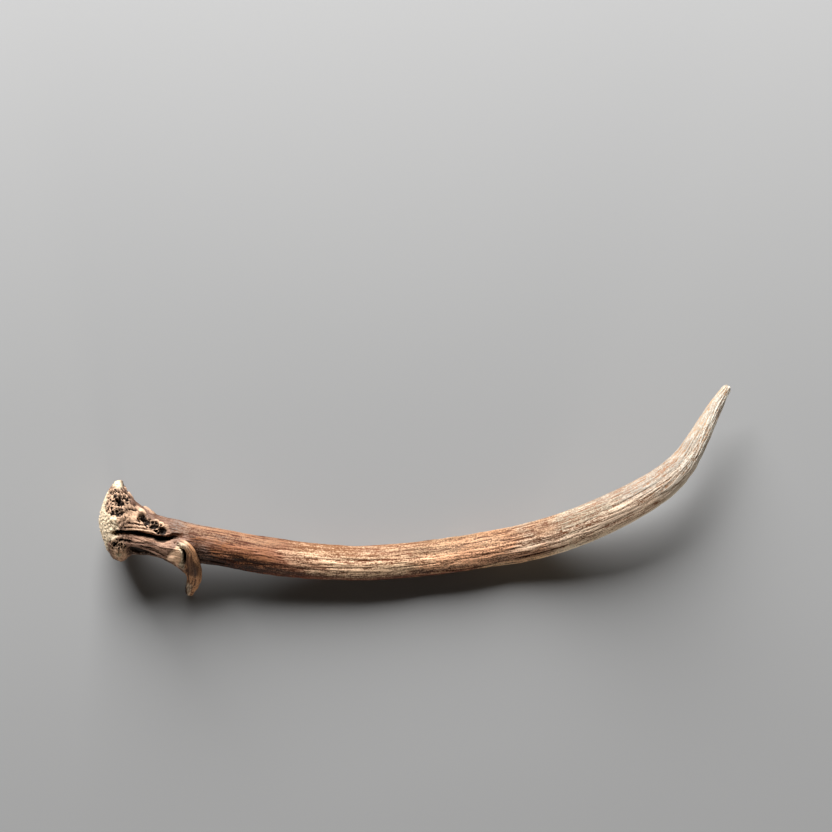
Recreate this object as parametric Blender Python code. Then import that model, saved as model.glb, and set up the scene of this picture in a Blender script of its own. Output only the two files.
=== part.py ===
"""A shed deer antler, lying on a flat surface.

The antler is one grown piece of bone: a pale seal and a knobbed burr at the -X end, a ridged beam that sweeps
to a smooth tip at the +X end, and a short hooked brow tine beside the burr. It is split at its only fork, so
it makes two solids: main_beam and brow_tine. It rests on the burr, on the tine's tip and on the beam's belly.

Lengths are in millimetres until a mesh is made. +Z is up, and the surface it lies on is Z = 0.
"""
import math

import bmesh
import bpy
import numpy as np
from mathutils import Matrix, Vector

MM = 0.001

# ---------------------------------------------------------------- driving dimensions
SEAL_DEPTH = 14.0        # how far the domed seal stands out beyond the burr's rim
SEAL_BLUNTNESS = 0.8     # 0.5 would make the seal half an egg, 1.0 is more pointed
TIP_ROUND = 3.2          # length of the rounded end of the tip
KERF = 0.3               # gap between the two solids at the fork
WORN = 0.4               # how much of the lowest places is worn flat where the antler lies on them
RING_STEP_BASE = 0.7     # distance between rings near the burr, where the shape is busy
RING_STEP_BEAM = 2.2     # and along the plain beam
BASE_END = 75.0          # how far from the burr's rim the close rings go
SEGMENTS = 160           # points in a ring of the beam
BEAM_TRIANGLES = 8300    # what the beam's skin is thinned out to
TINE_STEP = 3.0          # distance between rings of the tine and its buttress
TINE_SEGMENTS = 20
END_ROUND = 1.8          # how far the round ends of the tine and the buttress reach past their axes

# Axis of the beam from the burr's rim to the tip: x, y, z, then the width and height of the section there.
BEAM = (
    (-210.9, -22.9, 29.0, 55.4, 56.0),
    (-208.8, -23.5, 29.0, 54.6, 55.0),
    (-205.8, -25.1, 28.9, 48.6, 48.0),
    (-202.9, -25.8, 28.8, 43.4, 42.0),
    (-200.0, -27.4, 28.6, 38.4, 37.5),
    (-194.3, -30.2, 28.2, 34.2, 33.0),
    (-188.6, -32.2, 27.7, 30.6, 30.6),
    (-180.0, -34.6, 27.0, 29.6, 29.2),
    (-170.1, -36.8, 26.2, 29.4, 28.4),
    (-161.0, -38.4, 25.3, 27.6, 27.4),
    (-148.7, -40.3, 24.0, 26.8, 26.6),
    (-113.0, -46.6, 20.3, 26.6, 26.0),
    (-77.4, -51.4, 16.9, 25.8, 25.3),
    (-41.7, -53.5, 14.2, 25.7, 25.0),
    (-5.3, -51.5, 12.7, 25.7, 24.9),
    (31.0, -47.1, 12.35, 25.8, 25.0),
    (50.0, -44.0, 12.1, 26.0, 25.1),
    (66.7, -40.9, 13.3, 26.2, 25.2),
    (84.5, -36.7, 16.2, 26.4, 25.3),
    (101.6, -31.7, 20.4, 26.5, 25.4),
    (118.0, -25.6, 25.1, 26.4, 25.3),
    (135.2, -18.2, 29.6, 26.2, 25.2),
    (157.3, -7.1, 34.1, 25.0, 24.0),
    (177.2, 5.7, 37.0, 22.6, 21.8),
    (190.1, 18.5, 38.1, 19.4, 18.8),
    (199.3, 33.2, 38.4, 15.8, 15.4),
    (205.8, 45.2, 38.2, 13.2, 13.0),
    (211.5, 56.2, 37.7, 10.8, 10.8),
    (217.6, 66.6, 37.1, 8.0, 8.0),
    (222.2, 73.4, 36.5, 5.8, 5.8),
)

# The brow tine's own axis, from inside the beam over its side and down to the ground.
TINE = (
    (-170.8, -37.6, 37.0, 4.8, 6.0),
    (-166.0, -38.2, 40.0, 5.6, 7.0),
    (-161.6, -40.4, 41.2, 6.0, 7.6),
    (-159.0, -44.6, 40.0, 6.6, 8.4),
    (-158.2, -50.0, 36.8, 8.9, 9.4),
    (-157.4, -56.3, 30.4, 10.6, 10.2),
    (-157.6, -62.0, 22.0, 10.9, 9.8),
    (-158.8, -67.4, 12.2, 9.4, 8.6),
    (-160.8, -71.8, 5.8, 7.6, 7.0),
    (-162.0, -75.0, 2.4, 5.8, 5.2),
)
FORK_STATION = 6         # the cut is square to the tine's axis at this station
FORK_BOX = (16.0, 40.0)  # width and length of the space that holds the tine alone

# The buttress that carries the tine: it leaves the strand's lower edge and runs into the tine's inner side.
BUTTRESS = (
    (-184.0, -42.5, 26.2, 8.0, 9.0),
    (-176.0, -46.2, 29.2, 9.5, 11.0),
    (-169.0, -49.8, 30.2, 10.0, 12.0),
    (-163.2, -54.8, 28.2, 9.6, 11.5),
    (-159.4, -60.0, 23.2, 8.6, 9.6),
)

# Long carved features of the side that faces up: their routes in plan.
GUTTER = ((-215.0, -32.4), (-210.4, -30.8), (-201.5, -31.0), (-193.2, -32.2), (-186.5, -33.7),
          (-180.5, -35.4), (-175.8, -34.9), (-171.5, -33.4), (-166.5, -33.8), (-159.0, -34.8))
GUTTER_BEND = ((-190.0, -33.2), (-183.0, -35.2), (-177.5, -35.8), (-171.0, -34.2))
GUTTER_SIDE = ((-210.0, -35.7), (-203.6, -36.6), (-197.2, -38.5))
STRIP_LINE = ((-211.0, -26.6), (-200.0, -27.2), (-187.0, -28.8))
STRAND = ((-205.5, -36.8), (-196.0, -38.2), (-187.0, -40.5), (-178.0, -42.8), (-162.0, -45.6))
STRAND_HALF_WIDTHS = (2.8, 3.6, 4.8, 6.2, 7.8)  # at the corners of that route

# Single pits and knobs of that side: x, y, radius, and depth or height.
PITS = (
    (-215.0, -3.6, 2.4, 2.8), (-211.6, -1.6, 2.0, 2.2), (-213.4, -7.6, 2.8, 3.4),
    (-208.6, -6.4, 2.5, 2.8), (-216.6, -10.4, 2.2, 2.6), (-210.4, -10.8, 2.7, 3.2),
    (-206.0, -4.2, 2.0, 2.2), (-216.4, -15.4, 2.3, 2.6), (-212.2, -17.4, 2.7, 3.0),
    (-208.4, -15.2, 1.8, 1.8), (-193.6, -20.4, 4.8, 4.0), (-190.0, -22.8, 3.6, 2.6),
    (-187.0, -24.0, 2.3, 2.2), (-184.4, -26.4, 3.0, 2.0), (-179.2, -29.8, 4.8, 3.0),
    (-171.4, -45.8, 5.6, 1.1),
)
KNOBS = (
    (-211.4, 3.4, 4.8, 1.8), (-211.0, 1.0, 3.2, 0.8), (-213.6, -12.8, 1.8, 1.3),
    (-211.0, -4.6, 1.7, 1.4), (-214.0, -5.6, 1.4, 1.0), (-193.4, -16.2, 4.2, 1.6),
    (-190.4, -14.0, 4.6, 1.6), (-180.4, -25.8, 3.4, 1.5), (-183.6, -23.8, 3.0, 1.0),
    (-187.4, -16.8, 4.0, 1.2), (-209.0, -46.4, 3.6, 1.9),
)

# Rows of knobs around the burr: place along the axis, number, and greatest height.
PEARL_ROWS = ((-11.0, 13, 0.9), (-7.6, 22, 1.1), (-3.4, 28, 1.5), (1.0, 32, 1.9), (5.2, 24, 1.6))
PEARL_RADIUS = (2.0, 3.6)
RECESS_ANGLE = (60.0, 72.0)  # direction of the hollow under the strand, in degrees from straight up, at its ends
RECESS_SPREAD = 14.0
RECESS_SPAN = (5.0, 42.0)
RECESS_DEPTH = 4.5
STRAND_RISE = (1.8, 4.2)  # how far the strand stands out, at the burr and at its lip
LIP_FRONT = (-164.1, -46.0, 0.088)  # the strand's broken end: its foremost x, at y, and how it curves back
LIP_LOW = -52.0          # below this y the lip's edge runs straight
LIP_GAP_DEPTH = 4.2
LIP_RIM = 0.8            # the raised edge along the lip
BURR_FOOT_ANGLE = 206.0  # direction of the burr's lobe that touches the ground
BURR_FOOT_HEIGHT = 3.2

FURROW_CELL = (62.0, 5.2)  # spacing of the beam's long wavering furrows, along it and around it
FURROW_DEPTH = 1.3
RIDGE_SWELL = 1.2

BONE = {"main_beam": (0.40, 0.25, 0.15), "brow_tine": (0.36, 0.27, 0.18)}


# ---------------------------------------------------------------- curves and noise
def smooth_through(knots, values, at):
    """Read a smooth curve through values given at knots."""
    slope = np.gradient(values, knots, axis=0)
    low = np.clip(np.searchsorted(knots, at, side="right") - 1, 0, len(knots) - 2)
    span = (knots[low + 1] - knots[low])[:, None]
    u = (at - knots[low])[:, None] / span
    return ((2 * u**3 - 3 * u**2 + 1) * values[low] + (u**3 - 2 * u**2 + u) * span * slope[low]
            + (3 * u**2 - 2 * u**3) * values[low + 1] + (u**3 - u**2) * span * slope[low + 1])


def ease(value, low, high):
    """Rise smoothly from 0 at low to 1 at high."""
    u = np.clip((value - low) / (high - low), 0.0, 1.0)
    return u * u * (3.0 - 2.0 * u)


def lattice_noise(points, seed):
    """Smooth noise between 0 and 1 with a cell of one unit."""
    cell = np.floor(points).astype(np.int64)
    part = points - cell
    part = part * part * (3.0 - 2.0 * part)
    total = np.zeros(points.shape[:-1])
    for corner in np.ndindex(2, 2, 2):
        at = cell + np.array(corner)
        mixed = at[..., 0] * 374761393 + at[..., 1] * 668265263 + at[..., 2] * 1442695041 + seed * 974634777
        mixed = (mixed ^ (mixed >> 13)) * 1274126177
        value = ((mixed ^ (mixed >> 16)) & 0xFFFF) / 65535.0
        weight = np.prod(np.where(np.array(corner) == 1, part, 1.0 - part), axis=-1)
        total += value * weight
    return total


def path_distance(points, route):
    """Distance in plan from each point to a route, and how far along it (0 to 1) its nearest place is."""
    best = np.full(points.shape[:-1], np.inf)
    along = np.zeros(points.shape[:-1])
    legs = list(zip(route[:-1], route[1:]))
    for number, (start, end) in enumerate(legs):
        start, leg = np.array(start), np.array(end) - np.array(start)
        share = np.clip(((points[..., :2] - start) @ leg) / (leg @ leg), 0.0, 1.0)
        away = np.linalg.norm(points[..., :2] - start - share[..., None] * leg, axis=-1)
        nearer = away < best
        best = np.where(nearer, away, best)
        along = np.where(nearer, (number + share) / len(legs), along)
    return best, along


# ---------------------------------------------------------------- the skin of a tube
class Skin:
    """A closed tube of rings around an axis, which the carving functions below push in and out."""

    def __init__(self, stations, ring_places, segments):
        table = np.array(stations, float)
        knots = np.concatenate([[0.0], np.cumsum(np.linalg.norm(np.diff(table[:, :3], axis=0), axis=1))])
        self.length = knots[-1]
        places = ring_places(self.length)
        read = smooth_through(knots, table, np.clip(places, 0.0, self.length))
        ahead = smooth_through(knots, table, np.clip(places + 0.5, 0.5, self.length))[:, :3]
        behind = smooth_through(knots, table, np.clip(places - 0.5, 0.0, self.length - 0.5))[:, :3]
        self.forward = (ahead - behind) / np.linalg.norm(ahead - behind, axis=1, keepdims=True)
        self.centre, self.width, self.height = read[:, :3], read[:, 3], read[:, 4]
        self.place = places
        self.angle = np.arange(segments) * 2.0 * math.pi / segments

    def frame(self):
        """Directions across each ring: towards -Y in plan, and up."""
        side = np.cross(self.forward, (0.0, 0.0, 1.0))
        side /= np.linalg.norm(side, axis=1, keepdims=True)
        return side, np.cross(side, self.forward)

    def inflate(self, radius, lean=0.0):
        """Set the points from a radius for each ring and angle.

        Carving moves a point along its outward direction, which is straight out from the axis, leaning
        backwards by an angle for each ring. So no carving, however deep, can fold the skin over itself.
        """
        side, up = self.frame()
        turn = self.angle[None, :, None]
        across = np.cos(turn) * up[:, None] + np.sin(turn) * side[:, None]
        self.point = self.centre[:, None] + radius[..., None] * across
        lean = np.broadcast_to(lean, self.place.shape)[:, None, None]
        self.out = np.cos(lean) * across - np.sin(lean) * self.forward[:, None]

    def oval(self):
        """Radius of the plain oval section for each ring and angle."""
        lift = np.cos(self.angle)[None] / (self.height[:, None] / 2.0)
        reach = np.sin(self.angle)[None] / (self.width[:, None] / 2.0)
        return 1.0 / np.sqrt(lift**2 + reach**2)

    def push(self, amount):
        """Move each point outwards by its own amount."""
        self.point = self.point + self.out * amount[..., None]

    def on_top(self, x, y):
        """The point of the upper side that is nearest to a place in plan."""
        away = np.hypot(self.point[..., 0] - x, self.point[..., 1] - y) + 100.0 * (self.out[..., 2] < 0.0)
        return self.point[np.unravel_index(np.argmin(away), away.shape)]

    def swell(self, centre, radius, height):
        """Raise a round knob of a given height, or sink a pit where the height is negative."""
        away = np.linalg.norm(self.point - centre, axis=-1) / radius
        self.push(height * ease(1.0 - away, 0.0, 0.8))

    def carve(self, route, half_width, depth, fade=(0.0, 0.0)):
        """Cut a channel along a route of the upper side, fading in and out over a share of its length."""
        away, along = path_distance(self.point, route)
        facing = ease(self.out[..., 2], 0.0, 0.35)
        ends = ease(along, -1e-6, fade[0] + 1e-6) * ease(1.0 - along, -1e-6, fade[1] + 1e-6)
        self.push(-depth * facing * ends * ease(1.0 - away / half_width, 0.0, 0.75))

    def mesh(self, name):
        """Make the closed mesh, with a single point at each end."""
        rings, segments = self.point.shape[:2]
        flat = self.point.reshape(-1, 3)
        ends = np.array([self.point[0].mean(axis=0), self.point[-1].mean(axis=0)])
        first, last = len(flat), len(flat) + 1
        turn = np.roll(np.arange(segments), -1)
        faces = []
        for ring in range(rings - 1):
            low, high = ring * segments, (ring + 1) * segments
            faces += [(low + k, low + turn[k], high + turn[k], high + k) for k in range(segments)]
        top = (rings - 1) * segments
        faces += [(first, int(turn[k]), k) for k in range(segments)]
        faces += [(last, top + k, top + int(turn[k])) for k in range(segments)]
        mesh = bpy.data.meshes.new(name)
        faces = [tuple(int(corner) for corner in face) for face in faces]
        mesh.from_pydata((np.vstack([flat, ends]) * MM).tolist(), [], faces)
        mesh.update()
        return mesh


# ---------------------------------------------------------------- the beam with its burr
def beam_rings(length):
    """Places of the beam's rings: the dome before 0, close ones at the base, wider ones, a round tip."""
    dome = -SEAL_DEPTH * (1.0 - np.linspace(0.05, 1.0, 30, endpoint=False) ** 1.6)
    base = np.arange(0.0, BASE_END, RING_STEP_BASE)
    beam = np.arange(BASE_END, length - TIP_ROUND, RING_STEP_BEAM)
    tip = length - TIP_ROUND * (1.0 - np.sin(np.linspace(0.0, 0.47, 6) * math.pi))
    return np.concatenate([dome, base, beam, tip])


def rest_on_ground(skin):
    """Flatten what would dip below the ground, which gives the small worn faces that the antler lies on."""
    skin.point[..., 2] = np.maximum(skin.point[..., 2], 0.0)


def beam_skin():
    """Model the beam: section, dome, burr, ridges, the gutter with its strand, and the pits and knobs."""
    skin = Skin(BEAM, beam_rings, SEGMENTS)
    place, angle = skin.place[:, None], skin.angle[None]

    # the burr's disc stands square to X, and the rings turn to the beam's own direction beyond it
    turn = ease(skin.place, 6.0, 45.0)[:, None]
    skin.forward = turn * skin.forward + (1.0 - turn) * np.array([1.0, 0.0, 0.0])
    skin.forward /= np.linalg.norm(skin.forward, axis=1, keepdims=True)
    before_rim = np.minimum(skin.place, 0.0)
    skin.centre[:, 0] += before_rim

    dome = (1.0 - (before_rim / SEAL_DEPTH) ** 2) ** SEAL_BLUNTNESS
    past = np.clip((skin.place - (skin.length - TIP_ROUND)) / TIP_ROUND, 0.0, 1.0)
    taper = dome * np.sqrt(1.0 - past**2)
    radius = skin.oval() * taper[:, None]

    # uneven outline of the burr, strongest at its rim
    rim = np.exp(-(np.where(place < 0.0, place / 9.0, place / 7.0) ** 2))
    radius *= 1.0 + rim * (0.035 * np.cos(3 * angle + 0.5) + 0.02 * np.cos(5 * angle + 2.0)
                           + 0.015 * np.cos(8 * angle + 1.2))
    foot = np.exp(-((np.degrees(angle) - BURR_FOOT_ANGLE) / 22.0) ** 2)
    radius += BURR_FOOT_HEIGHT * foot * rim
    skin.inflate(radius, lean=-0.5 * math.pi * before_rim / SEAL_DEPTH)

    # furrows run the beam's length, deeper on the tine's side and underneath, and fade towards the tip
    lower = 0.25 + 0.75 * ease(np.sin(angle - 0.5), -0.4, 0.6)
    faded = 1.0 - 0.75 * ease(place, skin.length - 150.0, skin.length - 30.0)
    furrow(skin, radius, lower * faded * ease(place, 8.0, 40.0))

    hollow_under_strand(skin)
    raise_strand(skin)
    skin.carve(GUTTER, 2.5, 7.0, fade=(0.10, 0.34))
    skin.carve(GUTTER_BEND, 3.3, 1.6, fade=(0.4, 0.4))
    skin.carve(GUTTER_SIDE, 1.5, 2.6, fade=(0.2, 0.5))
    skin.carve(STRIP_LINE, 1.2, 1.2, fade=(0.2, 0.3))
    set_pearls(skin)
    for x, y, size, height in KNOBS:
        skin.swell(skin.on_top(x, y), size, height)
    for x, y, size, depth in PITS:
        skin.swell(skin.on_top(x, y), size, -depth)
    rest_on_ground(skin)
    return skin


def furrow(skin, radius, strength):
    """Work long wavering ridges and furrows into a skin, each part of it by its own strength."""
    long_cell, round_cell = FURROW_CELL
    angle = skin.angle[None]
    along = np.broadcast_to(skin.place[:, None] / long_cell, radius.shape)
    across = radius / round_cell
    streak = np.stack([along, across * np.cos(angle), across * np.sin(angle)], axis=-1)
    valley = np.exp(-((lattice_noise(streak, 7) - 0.5) / 0.13) ** 2)
    swelling = lattice_noise(streak * (0.8, 0.6, 0.6), 21) - 0.5
    skin.push((RIDGE_SWELL * swelling + FURROW_DEPTH * (0.3 - valley)) * strength)


def hollow_under_strand(skin):
    """Hollow out the flank below the strand, between the burr and the tine."""
    place, angle = skin.place[:, None], np.degrees(skin.angle)[None]
    start, end = RECESS_SPAN
    span = ease(place, start, start + 8.0) * (1.0 - ease(place, end - 8.0, end))
    middle = RECESS_ANGLE[0] + (RECESS_ANGLE[1] - RECESS_ANGLE[0]) * ease(place, 14.0, 34.0)
    skin.push(-RECESS_DEPTH * span * np.exp(-((angle - middle) / RECESS_SPREAD) ** 4))


def raise_strand(skin):
    """Raise the band beside the gutter, up to the broken lip where it ends in front of the tine."""
    away, along = path_distance(skin.point, STRAND)
    half_width = np.interp(along, np.linspace(0.0, 1.0, len(STRAND_HALF_WIDTHS)), STRAND_HALF_WIDTHS)
    front_x, front_y, curve = LIP_FRONT
    past_lip = skin.point[..., 0] - front_x + curve * (np.maximum(skin.point[..., 1], LIP_LOW) - front_y) ** 2
    band = ease(skin.out[..., 2], 0.0, 0.3) * ease(1.0 - away / half_width, 0.0, 0.6)
    low, high = STRAND_RISE
    rise = (low + (high - low) * ease(along, 0.35, 0.85)) * (1.0 - ease(past_lip, -0.5, 0.5))
    gap = ease(past_lip, -0.5, 0.7) * (1.0 - ease(past_lip, 3.0, 6.5))
    rim = ease(past_lip, -1.9, -1.2) * (1.0 - ease(past_lip, -0.2, 0.6))
    skin.push(band * (rise - LIP_GAP_DEPTH * gap + LIP_RIM * rim))


def set_pearls(skin):
    """Set rows of uneven knobs around the burr."""
    draw = np.random.default_rng(11)
    for row_place, number, height in PEARL_ROWS:
        for pearl in range(number):
            share = (pearl + draw.uniform(-0.35, 0.35)) / number
            ring = int(np.argmin(np.abs(skin.place - row_place - draw.uniform(-1.2, 1.2))))
            spot = int(round(share * len(skin.angle))) % len(skin.angle)
            centre = skin.point[ring, spot].copy()
            skin.swell(centre, draw.uniform(*PEARL_RADIUS), height * draw.uniform(0.4, 1.0))


# ---------------------------------------------------------------- the tine
def tine_skin(stations):
    """Make a round-ended tube along stations, with slight furrows."""
    def rings(length):
        middle = np.linspace(0.0, length, int(length / TINE_STEP) + 1)
        end = END_ROUND * np.array([0.65, 0.9])
        return np.concatenate([-end[::-1], middle, length + end])
    skin = Skin(stations, rings, TINE_SEGMENTS)
    past_end = skin.place - np.clip(skin.place, 0.0, skin.length)
    skin.centre += skin.forward * past_end[:, None]
    radius = skin.oval() * np.sqrt(1.0 - (past_end / END_ROUND) ** 2)[:, None]
    skin.inflate(radius)
    furrow(skin, radius, 0.35)
    rest_on_ground(skin)
    return skin


# ---------------------------------------------------------------- Blender objects
def add_object(name, mesh):
    """Link a mesh to the scene as an object."""
    item = bpy.data.objects.new(name, mesh)
    bpy.context.collection.objects.link(item)
    return item


def apply_modifiers(item):
    """Turn an object's evaluated shape into its mesh."""
    graph = bpy.context.evaluated_depsgraph_get()
    mesh = bpy.data.meshes.new_from_object(item.evaluated_get(graph))
    item.modifiers.clear()
    item.data = mesh


def combine(item, other, operation):
    """Apply an exact Boolean of another object to an object."""
    cut = item.modifiers.new(operation.title(), "BOOLEAN")
    cut.operation = operation
    cut.solver = "EXACT"
    cut.object = other
    apply_modifiers(item)


def thin_out(item, triangles):
    """Bring a mesh down to a number of triangles, keeping its shape."""
    shape = bmesh.new()
    shape.from_mesh(item.data)
    bmesh.ops.triangulate(shape, faces=shape.faces)
    shape.to_mesh(item.data)
    shape.free()
    fewer = item.modifiers.new("Decimate", "DECIMATE")
    fewer.ratio = triangles / len(item.data.polygons)
    apply_modifiers(item)


def fork_box(gap):
    """The space beyond the fork that only the tine fills, starting a given distance past the cut."""
    at = Vector(TINE[FORK_STATION][:3]) * MM
    forward = (Vector(TINE[FORK_STATION + 1][:3]) - Vector(TINE[FORK_STATION - 1][:3])).normalized()
    across = forward.cross(Vector((1.0, 0.0, 0.0))).normalized()
    width, length = FORK_BOX[0] * MM, FORK_BOX[1] * MM
    shape = bmesh.new()
    bmesh.ops.create_cube(shape, size=1.0)
    turn = Matrix((across.cross(forward), across, forward)).transposed().to_4x4()
    centre = at + forward * (gap * MM + length / 2.0)
    size = Matrix.Diagonal((width, width, length, 1.0))
    bmesh.ops.transform(shape, matrix=Matrix.Translation(centre) @ turn @ size, verts=shape.verts)
    bmesh.ops.recalc_face_normals(shape, faces=shape.faces)
    mesh = bpy.data.meshes.new("fork_box")
    shape.to_mesh(mesh)
    shape.free()
    item = add_object("fork_box", mesh)
    item.hide_render = True
    item.display_type = "WIRE"
    return item


def bone(name):
    """A plain bone material in the node's own tone."""
    material = bpy.data.materials.new(name + "_bone")
    material.use_nodes = True
    shader = material.node_tree.nodes["Principled BSDF"]
    shader.inputs["Base Color"].default_value = (*BONE[name], 1.0)
    shader.inputs["Roughness"].default_value = 0.55
    shader.inputs["Metallic"].default_value = 0.0
    return material


def settle(items):
    """Wear the lowest places flat, and put the middle of the outline over the origin and those flats at Z = 0."""
    corners = np.vstack([np.array([vertex.co for vertex in item.data.vertices]) for item in items])
    low, high = corners.min(axis=0), corners.max(axis=0)
    ground = low[2] + WORN * MM
    shift = (-(low[0] + high[0]) / 2.0, -(low[1] + high[1]) / 2.0, 0.0)
    for item in items:
        for vertex in item.data.vertices:
            vertex.co.z = max(vertex.co.z - ground, 0.0)
        item.data.transform(Matrix.Translation(shift))


def build():
    """Model the antler and split it at its fork."""
    for item in list(bpy.data.objects):
        bpy.data.objects.remove(item, do_unlink=True)
    beam = add_object("main_beam", beam_skin().mesh("main_beam"))
    thin_out(beam, BEAM_TRIANGLES)
    for name, stations in (("buttress", BUTTRESS), ("tine", TINE)):
        tube = add_object(name, tine_skin(stations).mesh(name))
        combine(beam, tube, "UNION")
        bpy.data.objects.remove(tube, do_unlink=True)
    tine = add_object("brow_tine", beam.data.copy())
    inner, outer = fork_box(0.0), fork_box(KERF)
    combine(beam, inner, "DIFFERENCE")
    combine(tine, outer, "INTERSECT")
    for box in (inner, outer):
        bpy.data.objects.remove(box, do_unlink=True)
    settle((beam, tine))
    for item in (beam, tine):
        item.data.materials.clear()
        item.data.materials.append(bone(item.name))
        item.data.shade_smooth()


build()
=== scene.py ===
"""Dress a shed deer antler: its ridged bone skin, the grains of its burr, and the studio it is seen in.

The antler's two solids, main_beam and brow_tine, are one grown piece. A single fine skin stands for both, so no
It is worked from the same axes and sizes as the solids, in millimetres, and becomes metres
when its mesh is made. Fine relief comes from Geometry Nodes on that skin, and colour from a procedural material
that reads attributes stored on it: the bone's grain, the place along the beam, hollows and stains. The colour
also holds painted shade in the hollows and on the sides, and a painted highlight on the crest.
"""
import sys
import logging
import math
from dataclasses import dataclass, field
from enum import Enum
from typing import Sequence

import bpy
import numpy as np
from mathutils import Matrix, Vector
from mathutils.kdtree import KDTree


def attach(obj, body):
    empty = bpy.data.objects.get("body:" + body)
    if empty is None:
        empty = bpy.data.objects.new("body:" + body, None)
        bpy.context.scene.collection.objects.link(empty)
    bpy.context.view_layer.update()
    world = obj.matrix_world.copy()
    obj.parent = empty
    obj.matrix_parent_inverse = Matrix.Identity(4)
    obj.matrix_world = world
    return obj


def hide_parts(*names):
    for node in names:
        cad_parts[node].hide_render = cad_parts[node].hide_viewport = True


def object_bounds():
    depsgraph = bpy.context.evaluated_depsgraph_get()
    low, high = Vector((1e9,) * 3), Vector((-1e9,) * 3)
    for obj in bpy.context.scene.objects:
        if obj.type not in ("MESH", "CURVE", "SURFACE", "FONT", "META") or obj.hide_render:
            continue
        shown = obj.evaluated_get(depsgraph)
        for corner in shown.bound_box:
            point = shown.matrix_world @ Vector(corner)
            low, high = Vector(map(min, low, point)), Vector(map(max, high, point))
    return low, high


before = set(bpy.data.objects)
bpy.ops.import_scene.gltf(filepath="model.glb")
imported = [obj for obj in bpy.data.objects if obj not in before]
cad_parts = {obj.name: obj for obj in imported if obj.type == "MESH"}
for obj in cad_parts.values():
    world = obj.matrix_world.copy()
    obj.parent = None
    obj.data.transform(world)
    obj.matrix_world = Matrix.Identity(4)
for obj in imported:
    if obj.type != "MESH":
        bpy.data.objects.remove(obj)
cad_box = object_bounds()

log = logging.getLogger("antler")

# A millimetre in metres, and a length that keeps a fade without any from a division by 0.
MM = 0.001
HAIR = 1e-6
Colour = tuple[float, float, float]
Point = tuple[float, float, float]
Span = tuple[float, float]
Edge = tuple[float | np.ndarray, float | np.ndarray]
Route = Sequence[Span]
Faces = list[tuple[int, ...]]
Socket = bpy.types.NodeSocket


def srgb(red: int, green: int, blue: int) -> Colour:
    """Turn a colour as seen on a screen into the linear values that shaders use.

    Args:
        red: Channel from 0 to 255.
        green: Channel from 0 to 255.
        blue: Channel from 0 to 255.

    Returns:
        The linear colour, with channels from 0 to 1.
    """
    def linear(channel: int) -> float:
        """Undo the screen's curve for one channel."""
        part = channel / 255.0
        return part / 12.92 if part <= 0.04045 else ((part + 0.055) / 1.055) ** 2.4
    return linear(red), linear(green), linear(blue)


# ---------------------------------------------------------------- curves and noise
def ease(value: np.ndarray, low: float | np.ndarray, high: float | np.ndarray) -> np.ndarray:
    """Rise smoothly from 0 at low to 1 at high."""
    part = np.clip((value - low) / (high - low), 0.0, 1.0)
    return part * part * (3.0 - 2.0 * part)


def window(value: np.ndarray, rise: Edge, fall: Edge) -> np.ndarray:
    """Rise smoothly from 0 to 1 over one stretch, and fall back to 0 over another."""
    return ease(value, *rise) * (1.0 - ease(value, *fall))


@dataclass(frozen=True)
class Change:
    """A level that changes smoothly while what it depends on goes from start to end, and is held beyond them."""

    start: float
    end: float
    before: float = 0.0
    after: float = 1.0

    def at(self, value: np.ndarray) -> np.ndarray:
        """Read the level at given values."""
        return self.before + (self.after - self.before) * ease(value, self.start, self.end)


def smooth_through(knots: np.ndarray, values: np.ndarray, at: np.ndarray) -> np.ndarray:
    """Read a smooth curve through values given at knots.

    Args:
        knots: Rising places of the values.
        values: One row of values for each knot.
        at: Places to read.

    Returns:
        One row for each place.
    """
    slope = np.gradient(values, knots, axis=0)
    low = np.clip(np.searchsorted(knots, at, side="right") - 1, 0, len(knots) - 2)
    span = (knots[low + 1] - knots[low])[:, None]
    u = (at - knots[low])[:, None] / span
    return ((2 * u**3 - 3 * u**2 + 1) * values[low] + (u**3 - 2 * u**2 + u) * span * slope[low]
            + (3 * u**2 - 2 * u**3) * values[low + 1] + (u**3 - u**2) * span * slope[low + 1])


# Large odd numbers that stir the place of a lattice cell and a seed into a number of their own.
STIR_PLACE = (374761393, 668265263, 1442695041)
STIR_SEED = 974634777
STIR_AGAIN = 1274126177


def scatter(cell: np.ndarray, seed: int) -> np.ndarray:
    """Give each cell of a lattice its own number between 0 and 1.

    Args:
        cell: Whole places of the cells, with three numbers on the last axis.
        seed: Picks one of many patterns.

    Returns:
        One number for each cell.
    """
    mixed = (cell * np.array(STIR_PLACE)).sum(axis=-1) + seed * STIR_SEED
    mixed = (mixed ^ (mixed >> 13)) * STIR_AGAIN
    return ((mixed ^ (mixed >> 16)) & 0xFFFF) / 0xFFFF


def lattice_noise(points: np.ndarray, seed: int) -> np.ndarray:
    """Smooth noise between 0 and 1 with a cell of one unit.

    Args:
        points: Places, with three numbers on the last axis.
        seed: Picks one of many patterns.

    Returns:
        One value for each place.
    """
    cell = np.floor(points).astype(np.int64)
    part = points - cell
    part = part * part * (3.0 - 2.0 * part)
    total = np.zeros(points.shape[:-1])
    for corner in np.ndindex(2, 2, 2):
        value = scatter(cell + np.array(corner), seed)
        total += value * np.prod(np.where(np.array(corner) == 1, part, 1.0 - part), axis=-1)
    return total


def cell_walls(points: np.ndarray, seed: int) -> np.ndarray:
    """Measure how far points are from the walls between uneven cells of about one unit.

    Args:
        points: Places, with three numbers on the last axis.
        seed: Picks one of many patterns.

    Returns:
        One distance for each place, 0 at a wall.
    """
    home = np.floor(points).astype(np.int64)
    nearest = np.full(points.shape[:-1], np.inf)
    second = nearest.copy()
    for corner in np.ndindex(3, 3, 3):
        cell = home + np.array(corner) - 1
        middle = cell + np.stack([scatter(cell, seed + 1 + axis) for axis in range(3)], axis=-1)
        away = np.linalg.norm(points - middle, axis=-1)
        second = np.minimum(second, np.maximum(nearest, away))
        nearest = np.minimum(nearest, away)
    return second - nearest


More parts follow.
